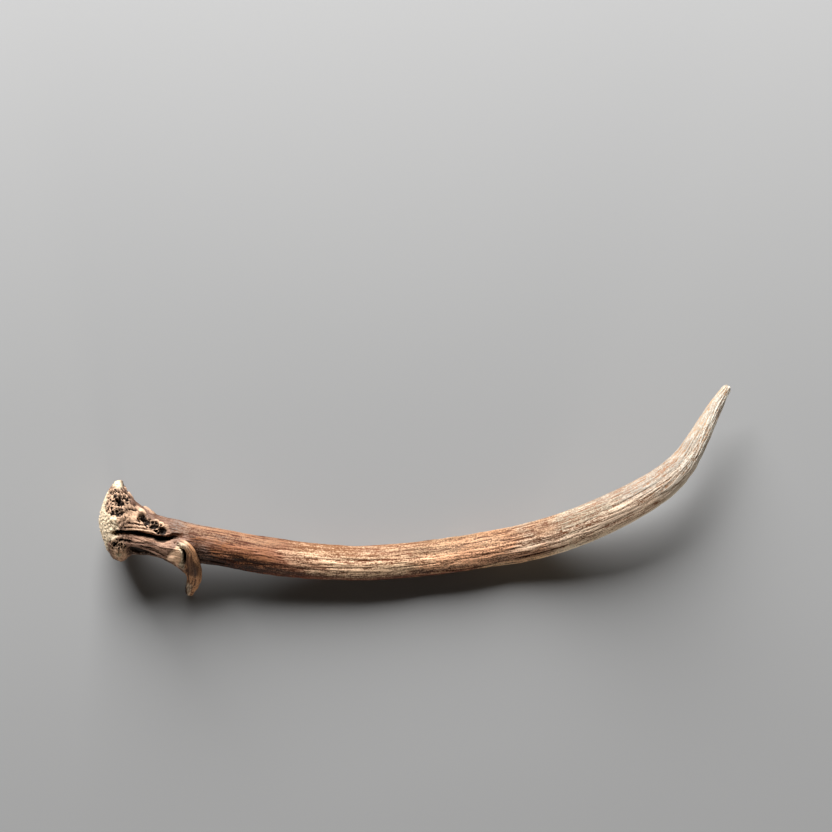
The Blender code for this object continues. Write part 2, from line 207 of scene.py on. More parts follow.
def path_distance(points: np.ndarray, route: Route) -> tuple[np.ndarray, np.ndarray]:
    """Measure in plan how far points are from a route.

    Args:
        points: Places, of which only x and y are read.
        route: Corners of the route in plan.

    Returns:
        The distance of each point, and how far along the route (0 to 1) its nearest place is.
    """
    best = np.full(points.shape[:-1], np.inf)
    along = np.zeros(points.shape[:-1])
    legs = list(zip(route[:-1], route[1:]))
    for number, (start, end) in enumerate(legs):
        start, leg = np.array(start), np.array(end) - np.array(start)
        share = np.clip(((points[..., :2] - start) @ leg) / (leg @ leg), 0.0, 1.0)
        away = np.linalg.norm(points[..., :2] - start - share[..., None] * leg, axis=-1)
        nearer = away < best
        best = np.where(nearer, away, best)
        along = np.where(nearer, (number + share) / len(legs), along)
    return best, along


# ---------------------------------------------------------------- axes
def across(forward: np.ndarray) -> tuple[np.ndarray, np.ndarray]:
    """Give the two directions across a forward direction.

    Args:
        forward: One direction a row.

    Returns:
        The direction to the side (towards -Y in plan where forward is +X), and the one up.
    """
    side = np.cross(forward, (0.0, 0.0, 1.0))
    side /= np.linalg.norm(side, axis=1, keepdims=True)
    return side, np.cross(side, forward)


class Axis:
    """The curved axis of a tube, with its section's width and height and the directions across it."""

    LOOK_AHEAD = 0.5
    SEARCH_STEP = 0.7
    SEARCH_BATCH = 4000

    def __init__(self, stations: Sequence[Sequence[float]]) -> None:
        """Measure the axis.

        Args:
            stations: The x, y, z, width and height of places that it runs through.
        """
        self.table = np.array(stations, float)
        steps = np.linalg.norm(np.diff(self.table[:, :3], axis=0), axis=1)
        self.knots = np.concatenate([[0.0], np.cumsum(steps)])
        self.length = float(self.knots[-1])

    def read(self, places: np.ndarray) -> tuple[np.ndarray, np.ndarray]:
        """Read the axis at places along it.

        Args:
            places: Distances from its start.

        Returns:
            The row of x, y, z, width and height at each place, and the forward direction.
        """
        look = self.LOOK_AHEAD
        row = smooth_through(self.knots, self.table, np.clip(places, 0.0, self.length))
        ahead = smooth_through(self.knots, self.table, np.clip(places + look, look, self.length))[:, :3]
        behind = smooth_through(self.knots, self.table, np.clip(places - look, 0.0, self.length - look))[:, :3]
        return row, (ahead - behind) / np.linalg.norm(ahead - behind, axis=1, keepdims=True)

    def locate(self, points: np.ndarray) -> tuple[np.ndarray, np.ndarray, np.ndarray]:
        """Find where points lie along and around the axis.

        Args:
            points: Places around the axis, one a row.

        Returns:
            The grain of each point (place along the axis, then its offset up and to the side), its distance from
            the axis as a share of the section's half width, and the angle around the axis from straight up.
        """
        places = np.arange(0.0, self.length, self.SEARCH_STEP)
        row, forward = self.read(places)
        side, up = across(forward)
        nearest = np.concatenate([
            np.argmin(((part[:, None] - row[None, :, :3]) ** 2).sum(axis=-1), axis=1)
            for part in np.array_split(points, max(1, len(points) // self.SEARCH_BATCH))])
        offset = points - row[nearest, :3]
        rise = np.einsum("ij,ij->i", offset, up[nearest])
        reach = np.einsum("ij,ij->i", offset, side[nearest])
        ahead = np.einsum("ij,ij->i", offset, forward[nearest])
        grain = np.column_stack([places[nearest] + ahead, rise, reach])
        share = np.hypot(rise, reach) / (0.5 * row[nearest, 3])
        return grain, share, np.arctan2(reach, rise)


# ---------------------------------------------------------------- skins and what is carved into them
class Paint(Enum):
    """The marks that are painted on the bone, among them painted shade. Each becomes an attribute of the skin
    under its value.
    """

    # Painted shade in pits, channels, cells, gaps and the recess below the strand.
    HOLLOW_SHADE = "hollow_shade"
    CREAM = "cream"
    # Tan; on knob tops and the lip's broken face it is partly painted light.
    TAN = "tan"
    # Painted shade on the flank below the strand and under its broken lip.
    BROWN = "brown"


@dataclass(frozen=True)
class Channel:
    """A channel with ragged edges, cut along a route of the upper side.

    The fade is the share of its length over which it fades in, and out. The last field is how dark its bed is
    painted, as painted shade.
    """

    route: Route
    half_width: float
    depth: float
    fade: Span
    hollow_shade: float = 1.0


@dataclass(frozen=True)
class PorousBand:
    """A band of the upper side that is broken into deep uneven cells with thin walls between them."""

    route: Route
    half_width: float
    depth: float
    cell: float
    seed: int


@dataclass(frozen=True)
class Furrows:
    """Long wavering ridges and furrows in the bone, with the spacing of their cells along it and around it."""

    cell: Span = (62.0, 5.2)
    depth: float = 1.3
    valley_width: float = 0.13
    lift: float = 0.3
    ridge_swell: float = 1.2
    ridge_stretch: Point = (0.8, 0.6, 0.6)
    valley_seed: int = 7
    ridge_seed: int = 21


class Skin:
    """Rings of points around an axis, which the carving methods push in and out and paint.

    The spans are shares between which a shape or its paint fades in. Those of sides are heights of the skin's
    outward direction, from 0 where it faces sideways to 1 where it faces up.
    """

    UPPER_SIDE = (0.0, 0.3)
    CHANNEL_SIDE = (0.0, 0.35)
    CHANNEL_WALL = (0.0, 0.75)
    # How the painted shade of a channel's bed fades in.
    CHANNEL_SHADE = (0.3, 0.8)
    CHANNEL_RAGGED = (0.78, 1.22)
    CHANNEL_RAGS = (5.0, 1.3, 3.0)
    CHANNEL_SEED = 33
    KNOB_SLOPE = (0.0, 0.8)
    # How the tan on a knob's top fades in; it is partly paler bone and partly a painted highlight.
    KNOB_TAN = (0.1, 0.5)
    # How the painted shade of a pit fades in.
    PIT_SHADE = (0.2, 0.65)
    CELL_RAGGED = (0.75, 1.25)
    CELL_RAGS = (2.5, 2.5, 2.5)
    CELL_EDGE = (0.0, 0.35)
    CELL_SLOPE = (0.05, 0.3)
    # How dark a cell is painted by its depth, as painted shade.
    CELL_SHADE = Change(0.1, 0.45, 0.1, 1.0)
    CELL_WALL_TAN = Change(0.0, 0.35, 0.7, 0.0)
    FAR = 100.0

    def __init__(self, axis: Axis, places: np.ndarray, segments: int) -> None:
        """Lay rings around an axis.

        Args:
            axis: The axis.
            places: Where the rings are along it.
            segments: How many points each has.
        """
        row, self.forward = axis.read(places)
        self.length = axis.length
        self.centre, self.width, self.height = row[:, :3], row[:, 3], row[:, 4]
        self.place = places
        self.angle = np.arange(segments) * 2.0 * math.pi / segments
        self.paint = {paint: np.zeros((len(places), segments)) for paint in Paint}

    def inflate(self, radius: np.ndarray, lean: np.ndarray | float = 0.0) -> None:
        """Set the points from a radius for each ring and angle.

        Args:
            radius: Distance from the axis for each ring and angle.
            lean: How far each ring's outward direction leans backwards. Carving moves a point only along that
                direction, so it can't fold the skin over itself.
        """
        side, up = across(self.forward)
        turn = self.angle[None, :, None]
        outward = np.cos(turn) * up[:, None] + np.sin(turn) * side[:, None]
        self.point = self.centre[:, None] + radius[..., None] * outward
        lean = np.broadcast_to(lean, self.place.shape)[:, None, None]
        self.out = np.cos(lean) * outward - np.sin(lean) * self.forward[:, None]

    def oval(self) -> np.ndarray:
        """Measure the plain oval section.

        Returns:
            Its radius for each ring and angle.
        """
        rise = np.cos(self.angle)[None] / (self.height[:, None] / 2.0)
        reach = np.sin(self.angle)[None] / (self.width[:, None] / 2.0)
        return 1.0 / np.sqrt(rise**2 + reach**2)

    def facing(self, span: Span) -> np.ndarray:
        """Say how far each point belongs to a side, given the heights at which that side begins."""
        return ease(self.out[..., 2], *span)

    def ragged(self, span: Span, cell: Point, seed: int) -> np.ndarray:
        """Give each point a share that wavers between a least and a greatest one, in cells of a size."""
        return span[0] + (span[1] - span[0]) * lattice_noise(self.point / cell, seed)

    def push(self, amount: np.ndarray) -> None:
        """Move each point outwards by its own amount."""
        self.point = self.point + self.out * amount[..., None]

    def colour(self, paint: Paint, share: np.ndarray) -> None:
        """Paint points with at least a share of a stain."""
        self.paint[paint] = np.maximum(self.paint[paint], share)

    def on_top(self, x: float, y: float) -> np.ndarray:
        """Give the point of the upper side that is nearest to a place in plan."""
        away = np.hypot(self.point[..., 0] - x, self.point[..., 1] - y) + self.FAR * (self.out[..., 2] < 0.0)
        return self.point[np.unravel_index(np.argmin(away), away.shape)]

    def swell(self, centre: np.ndarray, radius: float, height: float, hollow_shade: float = 0.0, tan: float = 0.0) -> None:
        """Raise a round knob, or sink a pit where the height is negative, and paint it: painted shade in a pit,
        tan on a knob.

        Args:
            centre: Its middle.
            radius: Its reach from there.
            height: How far its middle moves outwards.
            hollow_shade: How dark its middle is painted, as painted shade in a pit.
            tan: How tan its middle is; on a knob this is partly its paler bone and partly a painted highlight.
        """
        share = ease(1.0 - np.linalg.norm(self.point - centre, axis=-1) / radius, *self.KNOB_SLOPE)
        self.push(height * share)
        self.colour(Paint.HOLLOW_SHADE, hollow_shade * ease(share, *self.PIT_SHADE))
        self.colour(Paint.TAN, tan * ease(share, *self.KNOB_TAN))

    def carve(self, channel: Channel) -> None:
        """Cut a channel into the upper side, and paint shade into its bed.

        Args:
            channel: Its route, its size and how dark the painted shade of its bed is.
        """
        away, along = path_distance(self.point, channel.route)
        half_width = channel.half_width * self.ragged(self.CHANNEL_RAGGED, self.CHANNEL_RAGS, self.CHANNEL_SEED)
        ends = ease(along, -HAIR, channel.fade[0] + HAIR) * ease(1.0 - along, -HAIR, channel.fade[1] + HAIR)
        share = self.facing(self.CHANNEL_SIDE) * ends * ease(1.0 - away / half_width, *self.CHANNEL_WALL)
        self.push(-channel.depth * share)
        self.colour(Paint.HOLLOW_SHADE, channel.hollow_shade * ease(share, *self.CHANNEL_SHADE))

    def break_open(self, band: PorousBand) -> None:
        """Break a band of the upper side into cells, with painted shade in the cells and tan on their walls.

        Args:
            band: Its route, its size and the size of its cells.
        """
        away, _ = path_distance(self.point, band.route)
        half_width = band.half_width * self.ragged(self.CELL_RAGGED, self.CELL_RAGS, band.seed)
        cover = self.facing(self.UPPER_SIDE) * ease(1.0 - away / half_width, *self.CELL_EDGE)
        inside = cover > 0.0
        share = np.zeros(cover.shape)
        share[inside] = ease(cell_walls(self.point[inside] / band.cell, band.seed), *self.CELL_SLOPE)
        self.push(-band.depth * cover * share)
        self.colour(Paint.HOLLOW_SHADE, cover * self.CELL_SHADE.at(share))
        self.colour(Paint.TAN, cover * self.CELL_WALL_TAN.at(share))

    def furrow(self, furrows: Furrows, radius: np.ndarray, strength: np.ndarray | float) -> None:
        """Work ridges and furrows into the skin.

        Args:
            furrows: Their spacing and relief.
            radius: Distance from the axis for each ring and angle.
            strength: Share of the full relief for each point.
        """
        along = np.broadcast_to(self.place[:, None] / furrows.cell[0], radius.shape)
        around = radius / furrows.cell[1]
        streak = np.stack([along, around * np.cos(self.angle), around * np.sin(self.angle)], axis=-1)
        valley = np.exp(-((lattice_noise(streak, furrows.valley_seed) - 0.5) / furrows.valley_width) ** 2)
        swelling = lattice_noise(streak * furrows.ridge_stretch, furrows.ridge_seed) - 0.5
        self.push((furrows.ridge_swell * swelling + furrows.depth * (furrows.lift - valley)) * strength)


def ring_faces(skins: Sequence[Skin]) -> tuple[np.ndarray, Faces]:
    """Join skins that follow one another into one closed tube.

    Args:
        skins: Each has as many points in a ring as the one before it, or half as many.

    Returns:
        The points, and the faces by their points' numbers.
    """
    points = [skin.point.reshape(-1, 3) for skin in skins]
    rings = []
    count = 0
    for skin in skins:
        for _ in skin.place:
            rings.append(np.arange(count, count + len(skin.angle)))
            count += len(skin.angle)
    faces: Faces = []
    for low, high in zip(rings[:-1], rings[1:]):
        after_low, after_high = np.roll(low, -1), np.roll(high, -1)
        if len(low) == len(high):
            faces += zip(low.tolist(), after_low.tolist(), after_high.tolist(), high.tolist())
            continue
        for k in range(len(high)):
            a, b, c = low[2 * k], low[2 * k + 1], after_low[2 * k + 1]
            faces += [(int(a), int(b), int(high[k])), (int(b), int(after_high[k]), int(high[k])),
                      (int(b), int(c), int(after_high[k]))]
    ends = [skins[0].point[0].mean(axis=0), skins[-1].point[-1].mean(axis=0)]
    faces += [(count, int(after), int(this)) for this, after in zip(rings[0], np.roll(rings[0], -1))]
    faces += [(count + 1, int(this), int(after)) for this, after in zip(rings[-1], np.roll(rings[-1], -1))]
    return np.vstack(points + [np.array(ends)]), faces


# ---------------------------------------------------------------- meshes and modifiers
def new_object(name: str, points: np.ndarray, faces: Faces) -> bpy.types.Object:
    """Make an object and link it.

    Args:
        name: Its name.
        points: Its points in millimetres.
        faces: Its faces by their points' numbers.

    Returns:
        The object.
    """
    mesh = bpy.data.meshes.new(name)
    mesh.from_pydata((points * MM).tolist(), [], faces)
    mesh.update()
    item = bpy.data.objects.new(name, mesh)
    bpy.context.collection.objects.link(item)
    return item


def apply_modifiers(item: bpy.types.Object) -> None:
    """Turn an object's evaluated shape into its plain mesh and drop its modifiers.

    Args:
        item: The object.
    """
    graph = bpy.context.evaluated_depsgraph_get()
    mesh = bpy.data.meshes.new_from_object(item.evaluated_get(graph))
    item.modifiers.clear()
    item.data = mesh


def read_flat(items: bpy.types.bpy_prop_collection, name: str, kind: type, width: int = 1) -> np.ndarray:
    """Read one property of all points, edges, faces or corners of a mesh.

    Args:
        items: The points, edges, faces or corners.
        name: The property's name.
        kind: The type of its numbers.
        width: How many numbers it has for each item.

    Returns:
        A number for each item, or a row of numbers.
    """
    flat = np.empty(len(items) * width, kind)
    items.foreach_get(name, flat)
    return flat if width == 1 else flat.reshape(-1, width)


def mesh_points(mesh: bpy.types.Mesh) -> np.ndarray:
    """Read a mesh's points in millimetres, one a row."""
    return read_flat(mesh.vertices, "co", np.float32, 3).astype(float) / MM


def set_points(mesh: bpy.types.Mesh, points: np.ndarray) -> None:
    """Write a mesh's points, given in millimetres."""
    mesh.vertices.foreach_set("co", (points * MM).astype(np.float32).ravel())
    mesh.update()


def clear_ground(mesh: bpy.types.Mesh) -> np.ndarray:
    """Lift points that lie below the ground up to it.

    Args:
        mesh: The mesh, which is changed.

    Returns:
        Its points in millimetres.
    """
    points = mesh_points(mesh)
    points[:, 2] = np.maximum(points[:, 2], 0.0)
    set_points(mesh, points)
    return points


def mesh_edges(mesh: bpy.types.Mesh) -> np.ndarray:
    """Read the numbers of the two points of each of a mesh's edges, one edge a row."""
    return read_flat(mesh.edges, "vertices", np.int32, 2)


def relax(values: np.ndarray, edges: np.ndarray, times: int, share: np.ndarray | float = 0.5) -> np.ndarray:
    """Even out values between neighbouring points.

    Args:
        values: One row for each point.
        edges: The two points of each edge.
        times: How often to repeat.
        share: How far each point moves towards the mean of its neighbours.

    Returns:
        The evened values.
    """
    both = np.vstack([edges, edges[:, ::-1]])
    count = np.maximum(np.bincount(both[:, 0], minlength=len(values)), 1)[:, None]
    values = values.copy()
    for _ in range(times):
        total = np.stack([np.bincount(both[:, 0], weights=values[both[:, 1], axis], minlength=len(values))
                          for axis in range(values.shape[1])], axis=1)
        values += share * (total / count - values)
    return values


def store(mesh: bpy.types.Mesh, name: str, values: np.ndarray) -> None:
    """Keep values on a mesh's points as a named attribute.

    Args:
        mesh: The mesh.
        name: The attribute's name.
        values: A number for each point, or a row of three for a vector.
    """
    kind, key = ("FLOAT", "value") if values.ndim == 1 else ("FLOAT_VECTOR", "vector")
    layer = mesh.attributes.get(name) or mesh.attributes.new(name, kind, "POINT")
    layer.data.foreach_set(key, values.astype(np.float32).ravel())


# ---------------------------------------------------------------- node trees
class Tree:
    """A short way to add and link nodes."""

    CREASE_DETAIL = 1.5
    CREASE_WAVER = 0.2

    def __init__(self, tree: bpy.types.NodeTree) -> None:
        """Work on a node tree."""
        self.nodes, self.links, self.tree = tree.nodes, tree.links, tree

    def add(self, kind: str, inputs: dict[str | int, object] | None = None, **settings: object) -> bpy.types.Node:
        """Add a node.

        Args:
            kind: Its type.
            inputs: For each input's name or number, a value, or the output that feeds it.
            settings: The node's own settings.

        Returns:
            The node.
        """
        node = self.nodes.new(kind)
        for key, value in settings.items():
            setattr(node, key, value)
        self.feed(node, inputs or {})
        return node

    def feed(self, node: bpy.types.Node, inputs: dict[str | int, object]) -> None:
        """Set or link a node's inputs.

        Args:
            node: The node.
            inputs: For each input's name or number, a value, or the output that feeds it.
        """
        for key, value in inputs.items():
            if isinstance(value, Socket):
                self.links.new(value, node.inputs[key])
            elif value is not None:
                node.inputs[key].default_value = value

    def math(self, operation: str, first: object, second: object = None, third: object = None,
             clamp: bool = False) -> Socket:
        """Add a sum of up to three numbers or outputs.

        Args:
            operation: What it does.
            first: Its first term.
            second: Its second term, where it has one.
            third: Its third term, where it has one.
            clamp: Whether the result is held between 0 and 1.

        Returns:
            The node's output.
        """
        node = self.add("ShaderNodeMath", {0: first, 1: second, 2: third}, operation=operation, use_clamp=clamp)
        return node.outputs[0]

    def chain(self, operation: str, terms: Sequence[object]) -> Socket:
        """Work through terms with one operation, two at a time.

        Args:
            operation: What it does.
            terms: Numbers or outputs.

        Returns:
            The last output.
        """
        result = terms[0]
        for term in terms[1:]:
            result = self.math(operation, result, term)
        return result

    def total(self, *terms: object) -> Socket:
        """Add up numbers or outputs."""
        return self.chain("ADD", terms)

    def product(self, *terms: object) -> Socket:
        """Multiply numbers or outputs."""
        return self.chain("MULTIPLY", terms)

    def vector(self, operation: str, first: object, second: object) -> Socket:
        """Work on a vector and another vector."""
        return self.add("ShaderNodeVectorMath", {0: first, 1: second}, operation=operation).outputs[0]

    def resize(self, vector: object, factor: object) -> Socket:
        """Multiply a vector by one number or output."""
        return self.add("ShaderNodeVectorMath", {0: vector, "Scale": factor}, operation="SCALE").outputs[0]

    def noise(self, vector: object, detail: float, distortion: float = 0.0) -> Socket:
        """Add smooth noise with a cell of one unit and give its value, around 0.5."""
        return self.add("ShaderNodeTexNoise", {"Vector": vector, "Scale": 1.0, "Detail": detail,
                                               "Distortion": distortion}).outputs[0]

    def creases(self, vector: object) -> Socket:
        """Give the distance from the middle lines of wavering noise, which is 0 along thin creases."""
        value = self.noise(vector, self.CREASE_DETAIL, self.CREASE_WAVER)
        return self.math("ABSOLUTE", self.math("SUBTRACT", value, 0.5))

    def change(self, value: object, change: Change, smooth: bool = True) -> Socket:
        """Read a changing level, which is held beyond its ends.

        Args:
            value: What it depends on.
            change: The level.
            smooth: Whether it eases in and out, instead of changing evenly.

        Returns:
            The node's output.
        """
        return self.add("ShaderNodeMapRange", {
            "Value": value, "From Min": change.start, "From Max": change.end, "To Min": change.before,
            "To Max": change.after}, interpolation_type="SMOOTHSTEP" if smooth else "LINEAR").outputs[0]


class ShaderTree(Tree):
    """A material's node tree."""

    def finish(self, inputs: dict[str, object]) -> None:
        """Set or link the inputs of the material's own shader."""
        self.feed(self.nodes["Principled BSDF"], inputs)

    def attribute(self, name: str, vector: bool = False) -> Socket:
        """Read an attribute of the mesh."""
        return self.add("ShaderNodeAttribute", attribute_name=name).outputs["Vector" if vector else "Fac"]

    def mix(self, share: object, first: object, second: object) -> Socket:
        """Mix two colours.

        Args:
            share: How much of the second, as a number or output.
            first: A colour or output.
            second: A colour or output.

        Returns:
            The mixed colour's output.
        """
        def whole(value: object) -> object:
            """Give a plain colour its alpha."""
            return (*value, 1.0) if isinstance(value, tuple) else value
        return self.add("ShaderNodeMix", {0: share, 6: whole(first), 7: whole(second)},
                        data_type="RGBA").outputs[2]

    def ramp(self, value: object, stops: Sequence[tuple[float, Colour]]) -> Socket:
        """Turn a value into a colour through stops.

        Args:
            value: What is read.
            stops: The value and the colour of each stop.

        Returns:
            The colour's output.
        """
        node = self.add("ShaderNodeValToRGB", {0: value})
        elements = node.color_ramp.elements
        while len(elements) > 1:
            elements.remove(elements[-1])
        for number, (place, colour) in enumerate(stops):
            element = elements[0] if number == 0 else elements.new(place)
            element.position = place
            element.color = (*colour, 1.0)
        return node.outputs[0]


class GeometryTree(Tree):
    """A Geometry Nodes tree with named inputs."""

    def __init__(self, name: str, sizes: dict[str, tuple[str, float]]) -> None:
        """Start a tree with a geometry input and output and named sizes.

        Args:
            name: The tree's name.
            sizes: For each named input, its socket type and value.
        """
        super().__init__(bpy.data.node_groups.new(name, "GeometryNodeTree"))
        face = self.tree.interface
        face.new_socket("Geometry", in_out="INPUT", socket_type="NodeSocketGeometry")
        face.new_socket("Geometry", in_out="OUTPUT", socket_type="NodeSocketGeometry")
        self.sizes = sizes
        self.identifier = {}
        for label, (kind, _) in sizes.items():
            socket = face.new_socket(label, in_out="INPUT", socket_type=kind)
            self.identifier[label] = socket.identifier
        self.given = self.add("NodeGroupInput").outputs

    def named(self, name: str, kind: str = "FLOAT") -> Socket:
        """Read a named attribute of the geometry."""
        return self.add("GeometryNodeInputNamedAttribute", {"Name": name}, data_type=kind).outputs["Attribute"]

    def combine(self, parts: Sequence[object]) -> Socket:
        """Make a vector from three numbers or outputs."""
        return self.add("ShaderNodeCombineXYZ", dict(enumerate(parts))).outputs[0]

    def move(self, geometry: object, offset: object) -> Socket:
        """Move the points of a geometry by an offset."""
        return self.add("GeometryNodeSetPosition", {"Geometry": geometry, "Offset": offset}).outputs[0]

    def close(self, geometry: Socket, material: bpy.types.Material) -> None:
        """End the tree with Realize Instances and Set Material.

        Args:
            geometry: What the tree made.
            material: What it is dressed in.
        """
        real = self.add("GeometryNodeRealizeInstances", {0: geometry}).outputs[0]
        dressed = self.add("GeometryNodeSetMaterial", {"Geometry": real, "Material": material}).outputs[0]
        self.add("NodeGroupOutput", {0: dressed})

    def apply_to(self, item: bpy.types.Object) -> None:
        """Run the tree on an object and keep the result as its plain mesh.

        Args:
            item: The object.
        """
        modifier = item.modifiers.new(self.tree.name, "NODES")
        modifier.node_group = self.tree
        for label, (_, value) in self.sizes.items():
            modifier[self.identifier[label]] = value
        apply_modifiers(item)


# ---------------------------------------------------------------- finishes
@dataclass(frozen=True)
class RidgeSet:
    """Sharp ridges along the bone's grain, in millimetres."""

    length: float
    spacing: float
    depth: float


BROAD_RIDGES = RidgeSet(34.0, 2.2, 0.26)
FINE_RIDGES = RidgeSet(15.0, 1.3, 0.15)
RIDGE_SECTION = Change(0.0, 0.14, -1.0, 0.4)
GRANULE_SECTION = Change(0.15, 0.75, 0.6, -1.0)


class GrainPattern(Enum):
    """Noise that lies in the bone's grain.

    Each has its cell along the grain and across it in millimetres, its strength, its detail and its waver.
    """

    STREAK = (24.0, 1.5, 0.26, 3.0, 0.3)
    LONG_BAND = (80.0, 5.0, 0.14, 2.0, 0.0)
    FINE_GRAIN = (6.0, 0.85, 0.2, 2.0, 0.0)
    SPECKLE = (1.2, 0.85, 0.3, 1.0, 0.0)
    PATCH = (24.0, 12.0, 0.04, 3.0, 0.0)


@dataclass(frozen=True)
class BoneTone:
    """Colours of the bone at one place along the antler, from 0 at the burr to 1 at the tip.

    The crest is paler than the flank above it and the under side below it, partly from wear and partly as a
    painted highlight. The flank's tones are darkened as painted shade, the under side's tones are painted light
    and shade, and furrows stay dark.
    """

    place: float
    crest: Colour
    flank: Colour
    under: Colour
    furrow: Colour


@dataclass(frozen=True)
class BoneFinish:
    """Weathered antler bone: reddish brown by the burr, tan in the middle and cream at the tip.

    Changes named along depend on the place along the antler, and those named by lines on the lines in its grain.
    Its crest carries a painted highlight, and painted shade lies on its sides and in its hollows.
    """

    name: str = "antler_bone"
    roughness: float = 0.58
    specular: float = 0.14
    bump_strength: float = 0.35
    bump_height: float = 0.3
    # Besides the bone's own tone, the crest, flank and under colours hold a painted highlight and painted shade.
    tones: tuple[BoneTone, ...] = (
        BoneTone(0.00, srgb(196, 161, 137), srgb(100, 78, 63), srgb(146, 115, 95), srgb(91, 65, 51)),
        BoneTone(0.05, srgb(168, 132, 109), srgb(112, 85, 72), srgb(168, 131, 112), srgb(99, 70, 54)),
        BoneTone(0.10, srgb(138, 113, 101), srgb(130, 116, 106), srgb(159, 125, 108), srgb(100, 65, 44)),
        BoneTone(0.16, srgb(148, 96, 62), srgb(169, 131, 102), srgb(31, 8, 2), srgb(79, 43, 31)),
        BoneTone(0.23, srgb(170, 119, 92), srgb(108, 75, 54), srgb(109, 42, 7), srgb(84, 42, 24)),
        BoneTone(0.32, srgb(238, 198, 162), srgb(128, 90, 59), srgb(103, 44, 16), srgb(105, 63, 39)),
        BoneTone(0.41, srgb(231, 196, 160), srgb(131, 96, 71), srgb(79, 29, 8), srgb(111, 61, 33)),
        BoneTone(0.49, srgb(243, 184, 143), srgb(152, 124, 95), srgb(124, 59, 27), srgb(76, 42, 25)),
        BoneTone(0.58, srgb(213, 159, 123), srgb(162, 120, 87), srgb(238, 196, 152), srgb(80, 47, 30)),
        BoneTone(0.68, srgb(242, 215, 186), srgb(156, 143, 123), srgb(243, 223, 196), srgb(114, 73, 49)),
        BoneTone(0.77, srgb(224, 197, 171), srgb(136, 125, 112), srgb(243, 228, 206), srgb(138, 95, 67)),
        BoneTone(0.85, srgb(208, 190, 170), srgb(152, 145, 134), srgb(243, 230, 209), srgb(148, 109, 79)),
        BoneTone(0.94, srgb(223, 215, 201), srgb(163, 153, 139), srgb(243, 234, 218), srgb(178, 140, 106)),
        BoneTone(1.00, srgb(219, 208, 188), srgb(163, 151, 134), srgb(243, 234, 218), srgb(189, 147, 109)),
    )
    cream: Colour = srgb(226, 208, 180)
    cream_shade: Colour = srgb(196, 168, 134)
    tan: Colour = srgb(243, 201, 166)
    # Colours of painted shade: in the hollows, and behind and under the tine and below the strand.
    hollow_shade: Colour = srgb(30, 21, 16)
    shade_brown: Colour = srgb(34, 17, 9)
    tine: Colour = srgb(204, 151, 110)
    tine_streak: Colour = srgb(81, 53, 38)
    tine_tip: Colour = srgb(250, 228, 200)
    noise_span: Span = (0.34, 0.66)
    speckle_along: Change = Change(0.22, 0.34, 0.8, 1.0)
    lines_along: Change = Change(0.22, 0.3, 1.35, 1.15)
    pale_shaft_along: Change = Change(0.2, 0.3, 0.64, 0.72)
    pale_tip_along: Change = Change(0.58, 0.84, 0.0, 0.13)
    crease: Change = Change(0.0, 0.045, -0.42, 0.0)
    crest_by_lines: float = 0.7
    # How far measured hollows are pulled towards the furrow colour, as painted shade.
    hollow_darkens: float = 0.3
    tine_contrast: float = 0.9
    tine_middle: Change = Change(0.3, 0.8, 0.0, 0.8)
    tine_tip_by_lines: Change = Change(0.3, 0.9, 0.3, 1.0)
    tan_by_lines: Change = Change(0.2, 0.8, 0.8, 1.0)
    cream_speckle: float = 2.0
    cream_level: float = 0.7
    shade_by_lines: Change = Change(0.4, 1.1, 0.95, 0.25)
    # Painted shade over the measured hollows, strongest on the burr and weaker on the cream seal.
    shade_by_hollow: Change = Change(0.5, 1.8, 0.0, 0.8)
    hollow_shade_along: Change = Change(0.07, 0.14, 1.0, 0.25)
    hollow_shade_by_cream: Change = Change(0.0, 1.0, 1.0, 0.45)

    def pattern(self, tree: ShaderTree, pattern: GrainPattern) -> Socket:
        """Add noise that lies in the bone's grain.

        Args:
            tree: The material's tree.
            pattern: Which noise.

        Returns:
            Its value, from minus to plus its strength.
        """
        along, across_it, strength, detail, waver = pattern.value
        vector = self.grain_cells(tree, along, across_it)
        return tree.change(tree.noise(vector, detail, waver), Change(*self.noise_span, -strength, strength))

    def grain_cells(self, tree: ShaderTree, along: float, across_it: float) -> Socket:
        """Give the bone's grain in cells of a size along it and across it."""
        return tree.vector("MULTIPLY", tree.attribute("grain", vector=True),
                           (1.0 / along, 1.0 / across_it, 1.0 / across_it))

    def bone_colour(self, tree: ShaderTree, lines: Socket, height: Socket) -> Socket:
        """Colour the beam: the tones along it, pale on the crest from wear and a painted highlight, with painted
        light and shade on the flank and under side, and dark in the furrows.

        Args:
            tree: The material's tree.
            lines: The lines in the grain, around 0.
            height: How high each place stands between furrow and ridge, from 0 to 1.

        Returns:
            The colour.
        """
        wander = tree.total(tree.attribute("place"), self.pattern(tree, GrainPattern.PATCH))
        crest, flank, under, furrow = (
            tree.ramp(wander, [(tone.place, getattr(tone, part)) for tone in self.tones])
            for part in ("crest", "flank", "under", "furrow"))
        # The crest's paleness is partly wear and partly a painted highlight.
        rubbed_and_lit = tree.math("MULTIPLY_ADD", lines, self.crest_by_lines, tree.attribute("crest"), clamp=True)
        side = tree.mix(tree.attribute("under"), flank, under)
        return tree.mix(height, furrow, tree.mix(rubbed_and_lit, side, crest))

    def tine_colour(self, tree: ShaderTree, level: Socket, height: Socket) -> Socket:
        """Colour the tine: streaked, darker in the middle and worn pale at its tip.

        Args:
            tree: The material's tree.
            level: The lines in the grain at their full range.
            height: How high each place stands between furrow and ridge, from 0 to 1.

        Returns:
            The colour.
        """
        streaked = tree.mix(tree.product(height, self.tine_contrast), self.tine_streak, self.tine)
        middle = tree.change(tree.attribute("tine_middle"), self.tine_middle)
        worn = tree.product(tree.attribute("tine_tip"), tree.change(level, self.tine_tip_by_lines))
        return tree.mix(worn, tree.mix(middle, streaked, self.tine_streak), self.tine_tip)

